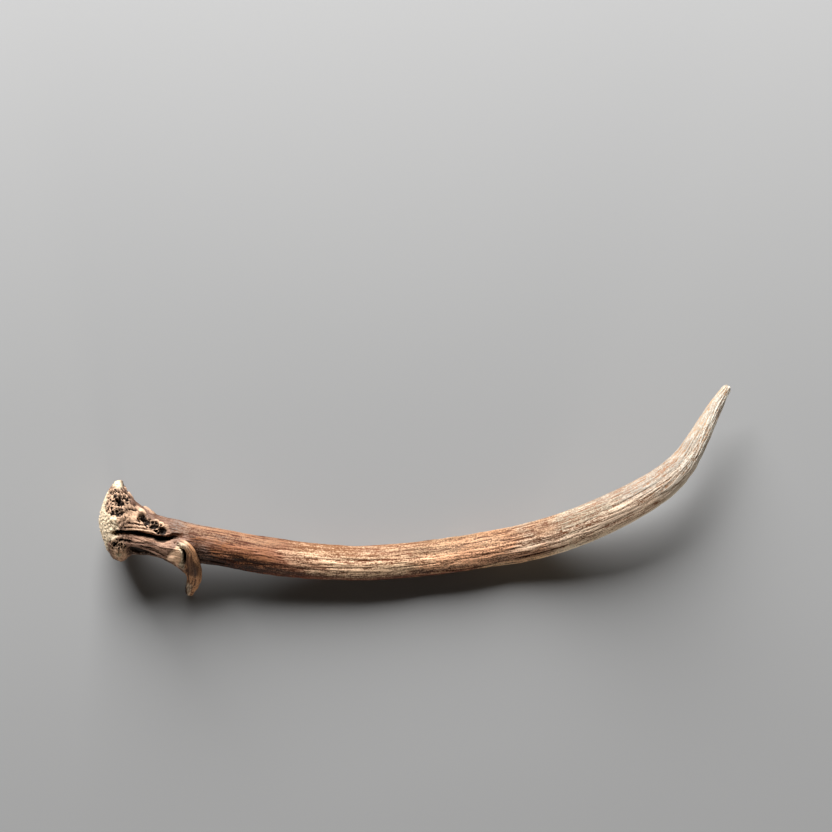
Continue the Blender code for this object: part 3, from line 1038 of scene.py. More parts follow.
    def stained(self, tree: ShaderTree, colour: Socket, level: Socket, speckle: Socket) -> Socket:
        """Lay the tan, the cream of the seal, and painted shade on the sides and in the hollows over a colour.

        Args:
            tree: The material's tree.
            colour: The bone's colour before these are laid over it.
            level: The lines in the grain at their full range.
            speckle: The speckle.

        Returns:
            The stained colour.
        """
        cream = tree.attribute("cream")
        tan = tree.product(tree.attribute("tan"), tree.change(level, self.tan_by_lines))
        colour = tree.mix(tan, colour, self.tan)
        pale = tree.math("MULTIPLY_ADD", speckle, self.cream_speckle, self.cream_level, clamp=True)
        colour = tree.mix(cream, colour, tree.mix(pale, self.cream_shade, self.cream))
        # Painted shade behind and under the tine and below the strand.
        dark = tree.math("MAXIMUM", tree.attribute("shade"), tree.attribute("brown"))
        dark = tree.product(dark, tree.change(level, self.shade_by_lines))
        colour = tree.mix(dark, colour, self.shade_brown)
        # Painted shade in the measured hollows, added to that of pits, channels and gaps.
        deep_shade = tree.product(tree.change(tree.attribute("hollow"), self.shade_by_hollow),
                             tree.change(tree.attribute("place"), self.hollow_shade_along),
                             tree.change(cream, self.hollow_shade_by_cream))
        return tree.mix(tree.math("ADD", tree.attribute("hollow_shade"), deep_shade, clamp=True), colour, self.hollow_shade)

    def material(self) -> bpy.types.Material:
        """Build the material.

        Returns:
            The material.
        """
        material = bpy.data.materials.new(self.name)
        material.use_nodes = True
        tree = ShaderTree(material.node_tree)
        place = tree.attribute("place")
        fine = self.pattern(tree, GrainPattern.FINE_GRAIN)
        speckle = tree.product(self.pattern(tree, GrainPattern.SPECKLE), tree.change(place, self.speckle_along))
        lines = tree.total(self.pattern(tree, GrainPattern.STREAK), self.pattern(tree, GrainPattern.LONG_BAND),
                           fine, speckle)
        lines = tree.product(lines, tree.change(place, self.lines_along))
        creases = tree.creases(self.grain_cells(tree, BROAD_RIDGES.length, BROAD_RIDGES.spacing))
        level = tree.total(lines, tree.change(creases, self.crease), tree.change(place, self.pale_shaft_along),
                           tree.change(place, self.pale_tip_along))
        # Measured hollows are pulled towards the furrow colour, as painted shade.
        height = tree.math("MULTIPLY_ADD", tree.attribute("hollow"), -self.hollow_darkens, level, clamp=True)
        colour = tree.mix(tree.attribute("tine"), self.bone_colour(tree, lines, height),
                          self.tine_colour(tree, level, height))
        bump = tree.add("ShaderNodeBump", {"Strength": self.bump_strength, "Distance": self.bump_height * MM,
                                           "Height": tree.total(fine, speckle)})
        tree.finish({"Base Color": self.stained(tree, colour, level, speckle), "Normal": bump.outputs[0],
                     "Roughness": self.roughness, "Specular IOR Level": self.specular})
        return material


@dataclass(frozen=True)
class FloorFinish:
    """A matt grey surface that is a little lighter away from the viewer, towards the key softbox, as painted
    light.

    Each grey stands at a share of the reach along Y, which is in metres.
    """

    name: str = "grey_floor"
    roughness: float = 0.9
    specular: float = 0.1
    reach: Span = (-0.25, 0.35)
    # These greys are a painted fall of the key light across the floor.
    greys: tuple[tuple[float, float], ...] = (
        (0.0, 0.28), (0.15, 0.29), (0.27, 0.303), (0.39, 0.311), (0.5, 0.319), (0.62, 0.338), (0.74, 0.36),
        (1.0, 0.412))

    def material(self) -> bpy.types.Material:
        """Build the material.

        Returns:
            The material.
        """
        material = bpy.data.materials.new(self.name)
        material.use_nodes = True
        tree = ShaderTree(material.node_tree)
        place = tree.add("ShaderNodeTexCoord").outputs["Object"]
        depth = tree.add("ShaderNodeSeparateXYZ", {0: place}).outputs["Y"]
        share = tree.change(depth, Change(*self.reach), smooth=False)
        colour = tree.ramp(share, [(at, (grey, grey, grey)) for at, grey in self.greys])
        tree.finish({"Base Color": colour, "Roughness": self.roughness, "Specular IOR Level": self.specular})
        return material


# ---------------------------------------------------------------- the beam and its burr
@dataclass
class Beam:
    """The beam with its burr, seal, gutter, strand and tip, as rings of points.

    Stations hold x, y, z, width and height. Pits and the dish hold x, y, their reach and depth, and knobs x, y,
    their reach, height and share of tan. Patches hold a route, a half width and a share of tan. Cream spots hold
    x, y, how flat they are, the distances between which they end, and their share. Rows of pearls hold their
    place along the beam, number and height. The lip, the edge below it and the face behind it hold x and y of a
    place on them, and how they bulge or slope from there. Spans and changes named along depend on the place along
    the beam, and other spans are the values between which a shape or its paint fades in or out.
    """

    stations: tuple[tuple[float, ...], ...] = (
        (-210.9, -22.9, 29.0, 55.4, 56.0), (-208.8, -23.5, 29.0, 54.6, 55.0), (-205.8, -25.1, 28.9, 48.6, 48.0),
        (-202.9, -25.8, 28.8, 43.4, 42.0), (-200.0, -27.4, 28.6, 38.4, 37.5), (-194.3, -30.2, 28.2, 34.2, 33.0),
        (-188.6, -32.2, 27.7, 30.6, 30.6), (-180.0, -34.6, 27.0, 29.6, 29.2), (-170.1, -36.8, 26.2, 29.4, 28.4),
        (-161.0, -38.4, 25.3, 27.6, 27.4), (-148.7, -40.3, 24.0, 26.8, 26.6), (-113.0, -46.6, 20.3, 26.6, 26.0),
        (-77.4, -51.4, 16.9, 25.8, 25.3), (-41.7, -53.5, 14.2, 25.7, 25.0), (-5.3, -51.5, 12.7, 25.7, 24.9),
        (31.0, -47.1, 12.35, 25.8, 25.0), (50.0, -44.0, 12.1, 26.0, 25.1), (66.7, -40.9, 13.3, 26.2, 25.2),
        (84.5, -36.7, 16.2, 26.4, 25.3), (101.6, -31.7, 20.4, 26.5, 25.4), (118.0, -25.6, 25.1, 26.4, 25.3),
        (135.2, -18.2, 29.6, 26.2, 25.2), (157.3, -7.1, 34.1, 25.0, 24.0), (177.2, 5.7, 37.0, 22.6, 21.8),
        (190.1, 18.5, 38.1, 19.4, 18.8), (199.3, 33.2, 38.4, 15.8, 15.4), (205.8, 45.2, 38.2, 13.2, 13.0),
        (211.5, 56.2, 37.7, 10.8, 10.8), (217.6, 66.6, 37.1, 8.0, 8.0), (222.2, 73.4, 36.5, 5.8, 5.8))
    seal_depth: float = 14.0
    seal_bluntness: float = 0.8
    seal_rings: int = 38
    seal_first_ring: float = 0.04
    seal_gathering: float = 1.6
    tip_round: float = 3.2
    tip_rings: int = 8
    tip_last_turn: float = 0.48
    base_end: float = 54.0
    base_step: float = 0.56
    shaft_step: float = 2.0
    base_segments: int = 384
    square_along: Span = (6.0, 45.0)
    rim_reach: Span = (9.0, 7.0)
    rim_waves: tuple[tuple[float, int, float], ...] = ((0.035, 3, 0.5), (0.02, 5, 2.0), (0.015, 8, 1.2))
    foot_angle: float = 206.0
    foot_spread: float = 22.0
    foot_height: float = 3.2
    furrows: Furrows = Furrows()
    furrow_turn: float = 0.5
    furrow_side: Change = Change(-0.4, 0.6, 0.25, 1.0)
    furrow_along: Span = (8.0, 40.0)
    furrow_before_tip: Change = Change(-150.0, -30.0, 1.0, 0.25)
    # Each channel's bed is painted dark as painted shade.
    channels: tuple[Channel, ...] = (
        Channel(((-215.0, -32.4), (-210.4, -30.8), (-201.5, -31.0), (-193.2, -32.2), (-186.5, -33.7),
                 (-180.5, -35.4), (-175.8, -34.9), (-171.5, -33.4), (-166.5, -33.8), (-159.0, -34.8)),
                2.5, 7.0, (0.1, 0.34)),
        Channel(((-190.0, -33.2), (-183.0, -35.2), (-177.5, -35.8), (-171.0, -34.2)), 3.3, 1.6, (0.4, 0.4)),
        Channel(((-210.0, -35.7), (-203.6, -36.6), (-197.2, -38.5)), 1.5, 2.6, (0.2, 0.5)))
    strips: tuple[Route, ...] = (
        ((-208.0, -26.8), (-200.0, -27.2), (-186.0, -28.8)), ((-205.0, -23.4), (-198.0, -24.4), (-188.0, -26.4)),
        ((-207.0, -29.6), (-197.0, -29.6), (-184.0, -31.4)), ((-205.5, -13.8), (-200.0, -14.4), (-195.5, -14.9)),
        ((-203.0, -8.8), (-199.5, -11.0), (-196.0, -13.4)), ((-201.0, -37.6), (-190.0, -38.9), (-180.0, -41.0)),
        ((-198.0, -39.6), (-187.0, -42.2), (-178.5, -45.6)), ((-196.0, -36.8), (-186.0, -38.4), (-176.0, -40.2)),
        ((-192.0, -42.0), (-183.0, -45.0), (-175.0, -48.6)))
    strip_half_width: float = 0.95
    strip_depth: float = 0.8
    strip_fade: Span = (0.25, 0.3)
    # How dark the strips' lines are painted, as painted shade.
    strip_shade: float = 0.3
    tan_strips: int = 3
    tan_rim: float = 1.3
    tan_rim_slope: Span = (0.0, 0.6)
    tan_rim_fade: Span = (0.1, 0.3)
    tan_rim_share: float = 0.7
    recess_along: tuple[Span, Span] = ((5.0, 13.0), (34.0, 42.0))
    recess_angle: Change = Change(14.0, 34.0, 60.0, 72.0)
    recess_spread: float = 14.0
    recess_depth: float = 4.5
    recess_shade_end: Span = (110.0, 150.0)
    strand: Route = ((-205.5, -36.8), (-196.0, -38.2), (-187.0, -40.5), (-178.0, -42.8), (-162.0, -45.6))
    strand_half: tuple[float, ...] = (2.8, 3.6, 4.8, 6.2, 7.8)
    strand_slope: Span = (0.0, 0.6)
    strand_rise: Change = Change(0.35, 0.85, 1.8, 4.2)
    strand_end: Span = (-0.5, 0.5)
    lower_edge: Point = (-177.2, -46.3, 0.46)
    lower_edge_blend: Span = (-0.6, 0.6)
    lip: Point = (-164.1, -46.0, 0.088)
    lip_lowest: float = -52.0
    lip_rim: tuple[Span, Span] = ((-1.9, -1.2), (-0.2, 0.6))
    lip_rim_height: float = 0.8
    lip_rim_cream: Span = (0.35, 0.7)
    lip_gap: tuple[Span, Span] = ((-0.5, 0.7), (3.0, 6.5))
    lip_gap_depth: float = 4.2
    lip_gap_shade: Span = (0.15, 0.5)
    face: Point = (-176.7, -46.0, 1.12)
    face_start: Span = (-1.0, 2.5)
    face_end: Span = (-1.5, -1.0)
    face_side: Span = (-0.5, -0.1)
    edge_shade: Change = Change(-1.6, -0.4, 0.85, 0.0)
    edge_shade_by_x: tuple[Span, Span] = ((-186.0, -178.0), (-162.0, -156.0))
    porous_bands: tuple[PorousBand, ...] = (
        PorousBand(((-214.4, -2.6), (-212.8, -6.6), (-207.4, -7.0)), 6.0, 2.0, 3.4, 40),
        PorousBand(((-217.0, -14.2), (-208.0, -16.2)), 3.6, 1.7, 2.8, 45),
        PorousBand(((-193.6, -20.4), (-189.6, -23.2), (-184.6, -26.0), (-181.4, -28.4)), 3.6, 2.4, 2.7, 50),
        PorousBand(((-212.7, -38.4), (-208.0, -39.0), (-208.0, -41.0)), 4.0, 1.3, 2.4, 55))
    # Each pit's middle is painted dark as painted shade.
    pits: tuple[tuple[float, ...], ...] = (
        (-213.8, -3.4, 3.8, 2.8), (-209.4, -9.8, 4.4, 3.2), (-206.3, -6.3, 3.6, 2.4), (-217.0, -10.2, 2.6, 1.7),
        (-212.0, -1.2, 2.4, 1.6), (-216.0, -5.4, 2.8, 1.8), (-203.0, -5.4, 2.2, 1.2), (-216.0, -15.0, 2.4, 1.9),
        (-213.2, -16.6, 2.8, 2.2), (-210.0, -17.2, 2.8, 2.2), (-207.4, -16.8, 2.2, 1.7), (-193.6, -20.4, 4.8, 4.0),
        (-190.0, -22.8, 3.6, 2.6), (-179.2, -29.8, 4.8, 3.0), (-184.4, -26.4, 3.0, 2.0), (-212.7, -38.6, 2.4, 1.9),
        (-207.8, -38.0, 2.4, 1.9), (-214.2, -41.4, 2.0, 1.4))
    dish: tuple[float, ...] = (-171.4, -45.8, 5.6, 1.1)
    # The tan of a knob is partly its paler bone and partly a painted highlight on its top.
    knobs: tuple[tuple[float, ...], ...] = (
        (-211.0, 3.8, 5.6, 1.7, 0.0), (-209.8, 1.4, 2.2, 1.2, 1.0), (-211.6, -5.4, 2.2, 2.2, 1.0),
        (-213.2, -12.2, 3.0, 1.5, 1.0), (-209.8, -13.2, 2.2, 1.2, 1.0), (-211.4, -14.4, 1.9, 1.2, 1.0),
        (-207.6, -2.6, 2.8, 1.0, 0.7), (-205.0, 0.8, 3.0, 1.0, 0.6), (-202.6, -1.8, 2.8, 0.9, 0.5),
        (-200.4, -4.6, 3.0, 0.9, 0.5), (-193.4, -16.2, 4.2, 1.6, 1.0), (-190.4, -14.0, 4.6, 1.6, 0.5),
        (-187.4, -16.8, 4.0, 1.2, 0.3), (-197.0, -13.4, 3.4, 0.8, 0.5), (-180.4, -25.8, 3.4, 1.5, 0.9),
        (-183.6, -23.8, 3.0, 1.0, 0.6), (-176.6, -26.6, 3.2, 1.0, 0.4), (-173.0, -49.6, 4.6, 1.3, 0.0),
        (-209.0, -46.4, 3.6, 1.9, 0.6), (-211.4, -43.0, 2.6, 1.2, 0.9), (-208.8, -41.6, 2.2, 1.0, 0.9))
    tan_patches: tuple[tuple[Route, float, float], ...] = (
        (((-210.0, -20.6), (-204.0, -19.0), (-198.5, -18.8)), 5.0, 0.75),
        (((-211.5, -41.5), (-209.0, -46.0)), 5.6, 0.7),
        (((-206.0, -11.0), (-200.0, -15.0)), 3.0, 0.45))
    patch_slope: Span = (0.0, 0.5)
    cream_edge: float = -218.4
    cream_blend: Span = (-1.2, 1.2)
    cream_tongue: float = 8.5
    cream_tongue_by_y: tuple[Span, Span] = ((15.0, 21.0), (33.0, 39.0))
    cream_spots: tuple[tuple[float, float, float, Span, float], ...] = (
        (-211.2, 5.2, 1.0, (4.4, 5.8), 1.0), (-209.6, -46.6, 1.6, (1.6, 2.8), 0.8))
    spot_side: Span = (-0.2, 0.2)
    spot_raggedness: float = 0.5
    ragged_edges: tuple[tuple[float, float, int], ...] = ((3.0, 2.6, 5), (2.0, 1.2, 6))
    pearl_rows: tuple[tuple[float, int, float], ...] = (
        (-7.6, 22, 0.4), (-3.4, 28, 1.0), (1.0, 32, 1.8), (5.2, 24, 1.6))
    pearl_radius: Span = (1.7, 3.2)
    pearl_height: Span = (0.4, 1.0)
    pearl_turn: float = 0.35
    pearl_shift: float = 1.2
    pearl_seed: int = 11
    axis: Axis = field(init=False)

    def __post_init__(self) -> None:
        """Measure the axis."""
        self.axis = Axis(self.stations)

    def places(self) -> tuple[np.ndarray, np.ndarray]:
        """Place the rings, which are closer together on the base.

        Returns:
            The places along the axis of the rings of the base, with those of the seal below 0, and of the shaft.
        """
        length = self.axis.length
        inwards = np.linspace(self.seal_first_ring, 1.0, self.seal_rings, endpoint=False)
        seal = -self.seal_depth * (1.0 - inwards ** self.seal_gathering)
        base = np.arange(0.0, self.base_end, self.base_step)
        shaft = np.arange(self.base_end + self.shaft_step, length - self.tip_round, self.shaft_step)
        turn = np.linspace(0.0, self.tip_last_turn, self.tip_rings) * math.pi
        tip = length - self.tip_round * (1.0 - np.sin(turn))
        return np.concatenate([seal, base]), np.concatenate([shaft, tip])

    def skins(self) -> list[Skin]:
        """Work the base and the shaft."""
        base, shaft = self.places()
        return [self.work_base(self.shape(base, self.base_segments)), self.shape(shaft, self.base_segments // 2)]

    def shape(self, places: np.ndarray, segments: int) -> Skin:
        """Make rings with their sections: the seal's dome, the burr's rim and foot, the furrows and the tip.

        Args:
            places: Where the rings are along the axis.
            segments: How many points each has.

        Returns:
            The rings.
        """
        skin = Skin(self.axis, places, segments)
        place, angle = skin.place[:, None], skin.angle[None]
        turn = ease(place, *self.square_along)
        skin.forward = turn * skin.forward + (1.0 - turn) * np.array([1.0, 0.0, 0.0])
        skin.forward /= np.linalg.norm(skin.forward, axis=1, keepdims=True)
        before_rim = np.minimum(skin.place, 0.0)
        skin.centre[:, 0] += before_rim

        dome = (1.0 - (before_rim / self.seal_depth) ** 2) ** self.seal_bluntness
        past = np.clip((skin.place - (skin.length - self.tip_round)) / self.tip_round, 0.0, 1.0)
        radius = skin.oval() * (dome * np.sqrt(1.0 - past**2))[:, None]
        rim = np.exp(-(place / np.where(place < 0.0, *self.rim_reach)) ** 2)
        radius *= 1.0 + rim * sum(wave * np.cos(count * angle + start) for wave, count, start in self.rim_waves)
        foot = np.exp(-((np.degrees(angle) - self.foot_angle) / self.foot_spread) ** 2)
        radius += self.foot_height * foot * rim
        skin.inflate(radius, lean=-0.5 * math.pi * before_rim / self.seal_depth)

        strength = self.furrow_side.at(np.sin(angle - self.furrow_turn)) * ease(place, *self.furrow_along)
        skin.furrow(self.furrows, radius, strength * self.furrow_before_tip.at(place - skin.length))
        return skin

    def work_base(self, skin: Skin) -> Skin:
        """Work the base: the gutter and strand, pearls, pores, pits and knobs, and the paint of the seal.

        Args:
            skin: The rings of the base, which are changed.

        Returns:
            The same rings.
        """
        self.hollow_under_strand(skin)
        self.raise_strand(skin)
        strips = [Channel(route, self.strip_half_width, self.strip_depth, self.strip_fade, self.strip_shade)
                  for route in self.strips]
        for channel in (*self.channels, *strips):
            skin.carve(channel)
        self.set_pearls(skin)
        for band in self.porous_bands:
            skin.break_open(band)
        for x, y, reach, depth in self.pits:
            skin.swell(skin.on_top(x, y), reach, -depth, hollow_shade=1.0)
        for x, y, reach, height, tan in self.knobs:
            skin.swell(skin.on_top(x, y), reach, height, tan=tan)
        x, y, reach, depth = self.dish
        skin.swell(skin.on_top(x, y), reach, -depth)
        self.paint_seal(skin)
        return skin

    def hollow_under_strand(self, skin: Skin) -> None:
        """Hollow out the flank below the strand, between the burr and the tine, and paint shade into the hollow
        and onto the flank below it.

        Args:
            skin: The rings of the base, which are changed.
        """
        place, angle = skin.place[:, None], np.degrees(skin.angle)[None]
        along = window(place, *self.recess_along)
        middle = self.recess_angle.at(place)
        share = along * np.exp(-((angle - middle) / self.recess_spread) ** 4)
        skin.push(-self.recess_depth * share)
        skin.colour(Paint.HOLLOW_SHADE, share)
        brown = window(angle, (middle - self.recess_spread, middle), self.recess_shade_end)
        skin.colour(Paint.BROWN, along * brown)

    def raise_strand(self, skin: Skin) -> None:
        """Raise the band beside the gutter, up to the broken lip where it ends in front of the tine. It paints
        shade into the gap behind the lip and below the strand's lower edge, and paints the broken face tan, partly
        as painted light.

        Args:
            skin: The rings of the base, which are changed.
        """
        away, along = path_distance(skin.point, self.strand)
        half_width = np.interp(along, np.linspace(0.0, 1.0, len(self.strand_half)), self.strand_half)
        x, y = skin.point[..., 0], skin.point[..., 1]
        past_lip = self.past_lip(skin.point)
        band = skin.facing(skin.UPPER_SIDE) * ease(1.0 - away / half_width, *self.strand_slope)
        rise = self.strand_rise.at(along) * (1.0 - ease(past_lip, *self.strand_end))
        gap = window(past_lip, *self.lip_gap)
        rim = window(past_lip, *self.lip_rim)
        skin.push(band * (rise - self.lip_gap_depth * gap + self.lip_rim_height * rim))
        # Painted shade in the gap behind the lip.
        skin.colour(Paint.HOLLOW_SHADE, ease(band * gap, *self.lip_gap_shade))
        edge_x, edge_y, slope = self.lower_edge
        above = y - edge_y + slope * (x - edge_x)
        on_strand = ease(above, *self.lower_edge_blend)
        face_x, face_y, slope = self.face
        face = ease(x - face_x - slope * (y - face_y), *self.face_start) * on_strand * skin.facing(self.face_side)
        # The broken face is painted tan, partly its paler bone and partly painted light.
        skin.colour(Paint.TAN, face * (1.0 - ease(past_lip, *self.face_end)))
        skin.colour(Paint.CREAM, rim * ease(band, *self.lip_rim_cream) * on_strand)
        # Painted shade below the strand's lower edge and the lip.
        skin.colour(Paint.BROWN, self.edge_shade.at(above) * window(x, *self.edge_shade_by_x))

    def past_lip(self, point: np.ndarray) -> np.ndarray:
        """Measure how far points lie beyond the strand's broken edge, which bulges towards the tine."""
        x, y, bulge = self.lip
        return point[..., 0] - x + bulge * (np.maximum(point[..., 1], self.lip_lowest) - y) ** 2

    def paint_seal(self, skin: Skin) -> None:
        """Paint the pale cast surface with its spots, the tan patches, and the tan rims beside the gutter.

        Args:
            skin: The rings of the base, which are changed.
        """
        x, y = skin.point[..., 0], skin.point[..., 1]
        ragged = sum(reach * (lattice_noise(skin.point / cell, seed) - 0.5)
                     for reach, cell, seed in self.ragged_edges)
        edge = self.cream_edge + self.cream_tongue * window(-y, *self.cream_tongue_by_y)
        skin.colour(Paint.CREAM, 1.0 - ease(x - edge + ragged, *self.cream_blend))
        for spot_x, spot_y, flat, end, share in self.cream_spots:
            away = np.hypot(x - spot_x, (y - spot_y) * flat) + self.spot_raggedness * ragged
            skin.colour(Paint.CREAM, share * (1.0 - ease(away, *end)) * skin.facing(self.spot_side))
        upper = skin.facing(skin.UPPER_SIDE)
        for route, half_width, share in self.tan_patches:
            away, _ = path_distance(skin.point, route)
            skin.colour(Paint.TAN, share * ease(1.0 - (away + ragged) / half_width, *self.patch_slope) * upper)
        for route in self.strips[:self.tan_strips]:
            away, along = path_distance(skin.point - (0.0, self.tan_rim, 0.0), route)
            rim = ease(1.0 - away / self.tan_rim, *self.tan_rim_slope) * ease(along, *self.tan_rim_fade)
            skin.colour(Paint.TAN, self.tan_rim_share * rim * upper)

    def set_pearls(self, skin: Skin) -> None:
        """Set rows of uneven knobs around the burr.

        Args:
            skin: The rings of the base, which are changed.
        """
        draw = np.random.default_rng(self.pearl_seed)
        for row_place, number, height in self.pearl_rows:
            for pearl in range(number):
                share = (pearl + draw.uniform(-self.pearl_turn, self.pearl_turn)) / number
                place = row_place + draw.uniform(-self.pearl_shift, self.pearl_shift)
                ring = int(np.argmin(np.abs(skin.place - place)))
                spot = int(round(share * len(skin.angle))) % len(skin.angle)
                centre = skin.point[ring, spot].copy()
                skin.swell(centre, draw.uniform(*self.pearl_radius), height * draw.uniform(*self.pearl_height))


# ---------------------------------------------------------------- the brow tine
@dataclass
class BrowTine:
    """The short hooked tine, and the buttress that carries it out of the strand.

    Stations hold x, y, z, width and height.
    """

    stations: tuple[tuple[float, ...], ...] = (
        (-170.8, -37.6, 37.0, 4.8, 6.0), (-166.0, -38.2, 40.0, 5.6, 7.0), (-161.6, -40.4, 41.2, 6.0, 7.6),
        (-159.0, -44.6, 40.0, 6.6, 8.4), (-158.2, -50.0, 36.8, 8.9, 9.4), (-157.4, -56.3, 30.4, 10.6, 10.2),
        (-157.6, -62.0, 22.0, 10.9, 9.8), (-158.8, -67.4, 12.2, 9.4, 8.6), (-160.8, -71.8, 5.8, 7.6, 7.0),
        (-162.0, -75.0, 2.4, 5.8, 5.2))
    buttress: tuple[tuple[float, ...], ...] = (
        (-184.0, -42.5, 26.2, 8.0, 9.0), (-176.0, -46.2, 29.2, 9.5, 11.0), (-169.0, -49.8, 30.2, 10.0, 12.0),
        (-163.2, -54.8, 28.2, 9.6, 11.5), (-159.4, -60.0, 23.2, 8.6, 9.6))
    end_round: float = 1.8
    end_rings: tuple[float, ...] = (0.3, 0.6, 0.8, 0.93)
    step: float = 0.8
    segments: int = 48
    furrow_share: float = 0.35

    def tube(self, stations: Sequence[Sequence[float]]) -> list[Skin]:
        """Make a round-ended tube with slight furrows.

        Args:
            stations: Those of its axis.

        Returns:
            Its one skin.
        """
        axis = Axis(stations)
        middle = np.linspace(0.0, axis.length, int(axis.length / self.step) + 1)
        end = self.end_round * np.array(self.end_rings)
        skin = Skin(axis, np.concatenate([-end[::-1], middle, axis.length + end]), self.segments)
        past_end = skin.place - np.clip(skin.place, 0.0, skin.length)
        skin.centre += skin.forward * past_end[:, None]
        radius = skin.oval() * np.sqrt(1.0 - (past_end / self.end_round) ** 2)[:, None]
        skin.inflate(radius)
        skin.furrow(Furrows(), radius, self.furrow_share)
        return [skin]


# ---------------------------------------------------------------- where the skin is stained
@dataclass(frozen=True)
class TineMarks:
    """Where the tine's skin begins and how it is stained, mostly by the place along the tine's axis.

    The root holds its place along the beam and its reach from there, and the knuckle x and y.
    """

    root: Span = (52.0, 30.0)
    before_start: Change = Change(-14.0, 0.0, 0.0, 0.25)
    blend: Change = Change(-0.25, 0.15, 1.0, 0.0)
    after_lip: Span = (0.4, 1.4)
    lip_slant: float = 0.12
    grain_shift: float = 900.0
    middle_start: Span = (13.0, 20.0)
    middle_end: Change = Change(30.0, 38.0, 1.0, 0.3)
    middle_turn: Change = Change(16.0, 28.0, 1.1, 0.2)
    middle_edge: Span = (0.1, 0.9)
    tip_start: Span = (46.0, 56.0)
    tip_side: Span = (-0.5, 0.3)
    less_shade: float = 0.62
    knuckle: Span = (-166.0, -38.4)
    knuckle_reach: Span = (4.6, 3.2)
    knuckle_edge: Span = (-1.35, -0.8)
    knuckle_share: float = 0.65

    def cover(self, points: np.ndarray, place: np.ndarray, lead: np.ndarray, beam: Beam) -> np.ndarray:
        """Say how far points belong to the tine.

        Args:
            points: The points.
            place: Their place along the beam.
            lead: How much nearer they are to the beam than to the tine, as shares of their half widths.
            beam: The beam.

        Returns:
            A share for each point.
        """
        cover = np.where(np.abs(place - self.root[0]) < self.root[1], self.blend.at(lead), 0.0)
        slant = self.lip_slant * np.maximum(beam.lip_lowest - points[:, 1], 0.0)
        return cover * ease(beam.past_lip(points) - slant, *self.after_lip)

    def middle(self, place: np.ndarray, angle: np.ndarray) -> np.ndarray:
        """Say how far points belong to the dark middle of the tine, by place and angle on it."""
        dark = ease(place, *self.middle_start) * self.middle_end.at(place)
        return dark * ease(np.cos(angle - self.middle_turn.at(place)), *self.middle_edge)

    def tip(self, place: np.ndarray, angle: np.ndarray) -> np.ndarray:
        """Say how far points belong to the worn tip of the tine, by place and angle on it."""
        return ease(place, *self.tip_start) * ease(np.sin(angle), *self.tip_side)

    def pale_knuckle(self, points: np.ndarray) -> np.ndarray:
        """Say how far points belong to the pale knuckle of the tine."""
        away = np.linalg.norm((points[:, :2] - self.knuckle) / self.knuckle_reach, axis=1)
        return self.knuckle_share * ease(-away, *self.knuckle_edge)


@dataclass(frozen=True)
class ToneMarks:
    """Where the beam's crest carries a painted highlight, partly also wear, and where painted light and shade lie
    on its sides.

    Angles are around the beam from straight up, in degrees but for that of the patch. Changes named along depend
    on the share of the beam's length. The shade depends on the place along the beam, and the patch holds such a
    place and an angle.
    """

    crest_start: float = -36.0
    start_along: tuple[Change, ...] = (Change(0.24, 0.34, 0.0, 7.0), Change(0.4, 0.48, 0.0, 11.0))
    crest_end: float = 12.0
    end_along: tuple[Change, ...] = (
        Change(0.16, 0.24, 0.0, 26.0), Change(0.3, 0.5, 0.0, 6.0), Change(0.5, 0.7, 0.0, 8.0))
    crest_edge: float = 24.0
    under_sooner_along: Change = Change(0.44, 0.52, 12.0, 0.0)
    under_edge: Span = (-6.0, 20.0)
    under_end: Span = (140.0, 180.0)
    shade_side: Change = Change(92.0, 118.0, -0.05, 0.2)
    shade_edge: Span = (0.0, 0.4)
    shade_span: tuple[Span, Span] = ((46.0, 52.0), (270.0, 340.0))
    shade_later: Change = Change(84.0, 150.0, 1.0, 0.5)
    patch: Span = (57.0, -0.22)
    patch_reach: Span = (8.0, 0.4)
    patch_edge: Span = (0.0, 0.6)
    patch_share: float = 0.7

    def crest_and_under(self, share_along: np.ndarray, turn: np.ndarray) -> tuple[np.ndarray, np.ndarray]:
        """Say how far points belong to the crest, rubbed and with a painted highlight, and to the under side, with
        its painted light and shade.

        Args:
            share_along: Their place as a share of the beam's length.
            turn: Their angle in degrees.

        Returns:
            Both shares for each point.
        """
        start = self.crest_start + sum(change.at(share_along) for change in self.start_along)
        end = self.crest_end + sum(change.at(share_along) for change in self.end_along)
        crest = window(turn, (start, start + self.crest_edge), (end, end + self.crest_edge))
        edge = end - self.under_sooner_along.at(share_along)
        low, high = self.under_edge
        return crest, window(turn, (edge + low, edge + high), self.under_end)

    def shade(self, place: np.ndarray, angle: np.ndarray) -> np.ndarray:
        """Say how much painted shade lies behind the tine and along the lower side after it.

        Args:
            place: The place of each point along the beam.
            angle: Its angle in radians.

        Returns:
            A share for each point.
        """
        low = ease(np.sin(angle) - self.shade_side.at(place), *self.shade_edge)
        lower_side = low * window(place, *self.shade_span) * self.shade_later.at(place)
        spot = (np.column_stack([place, angle]) - self.patch) / self.patch_reach
        away = np.hypot(spot[:, 0], spot[:, 1])
        return np.maximum(lower_side, self.patch_share * ease(1.0 - away, *self.patch_edge))


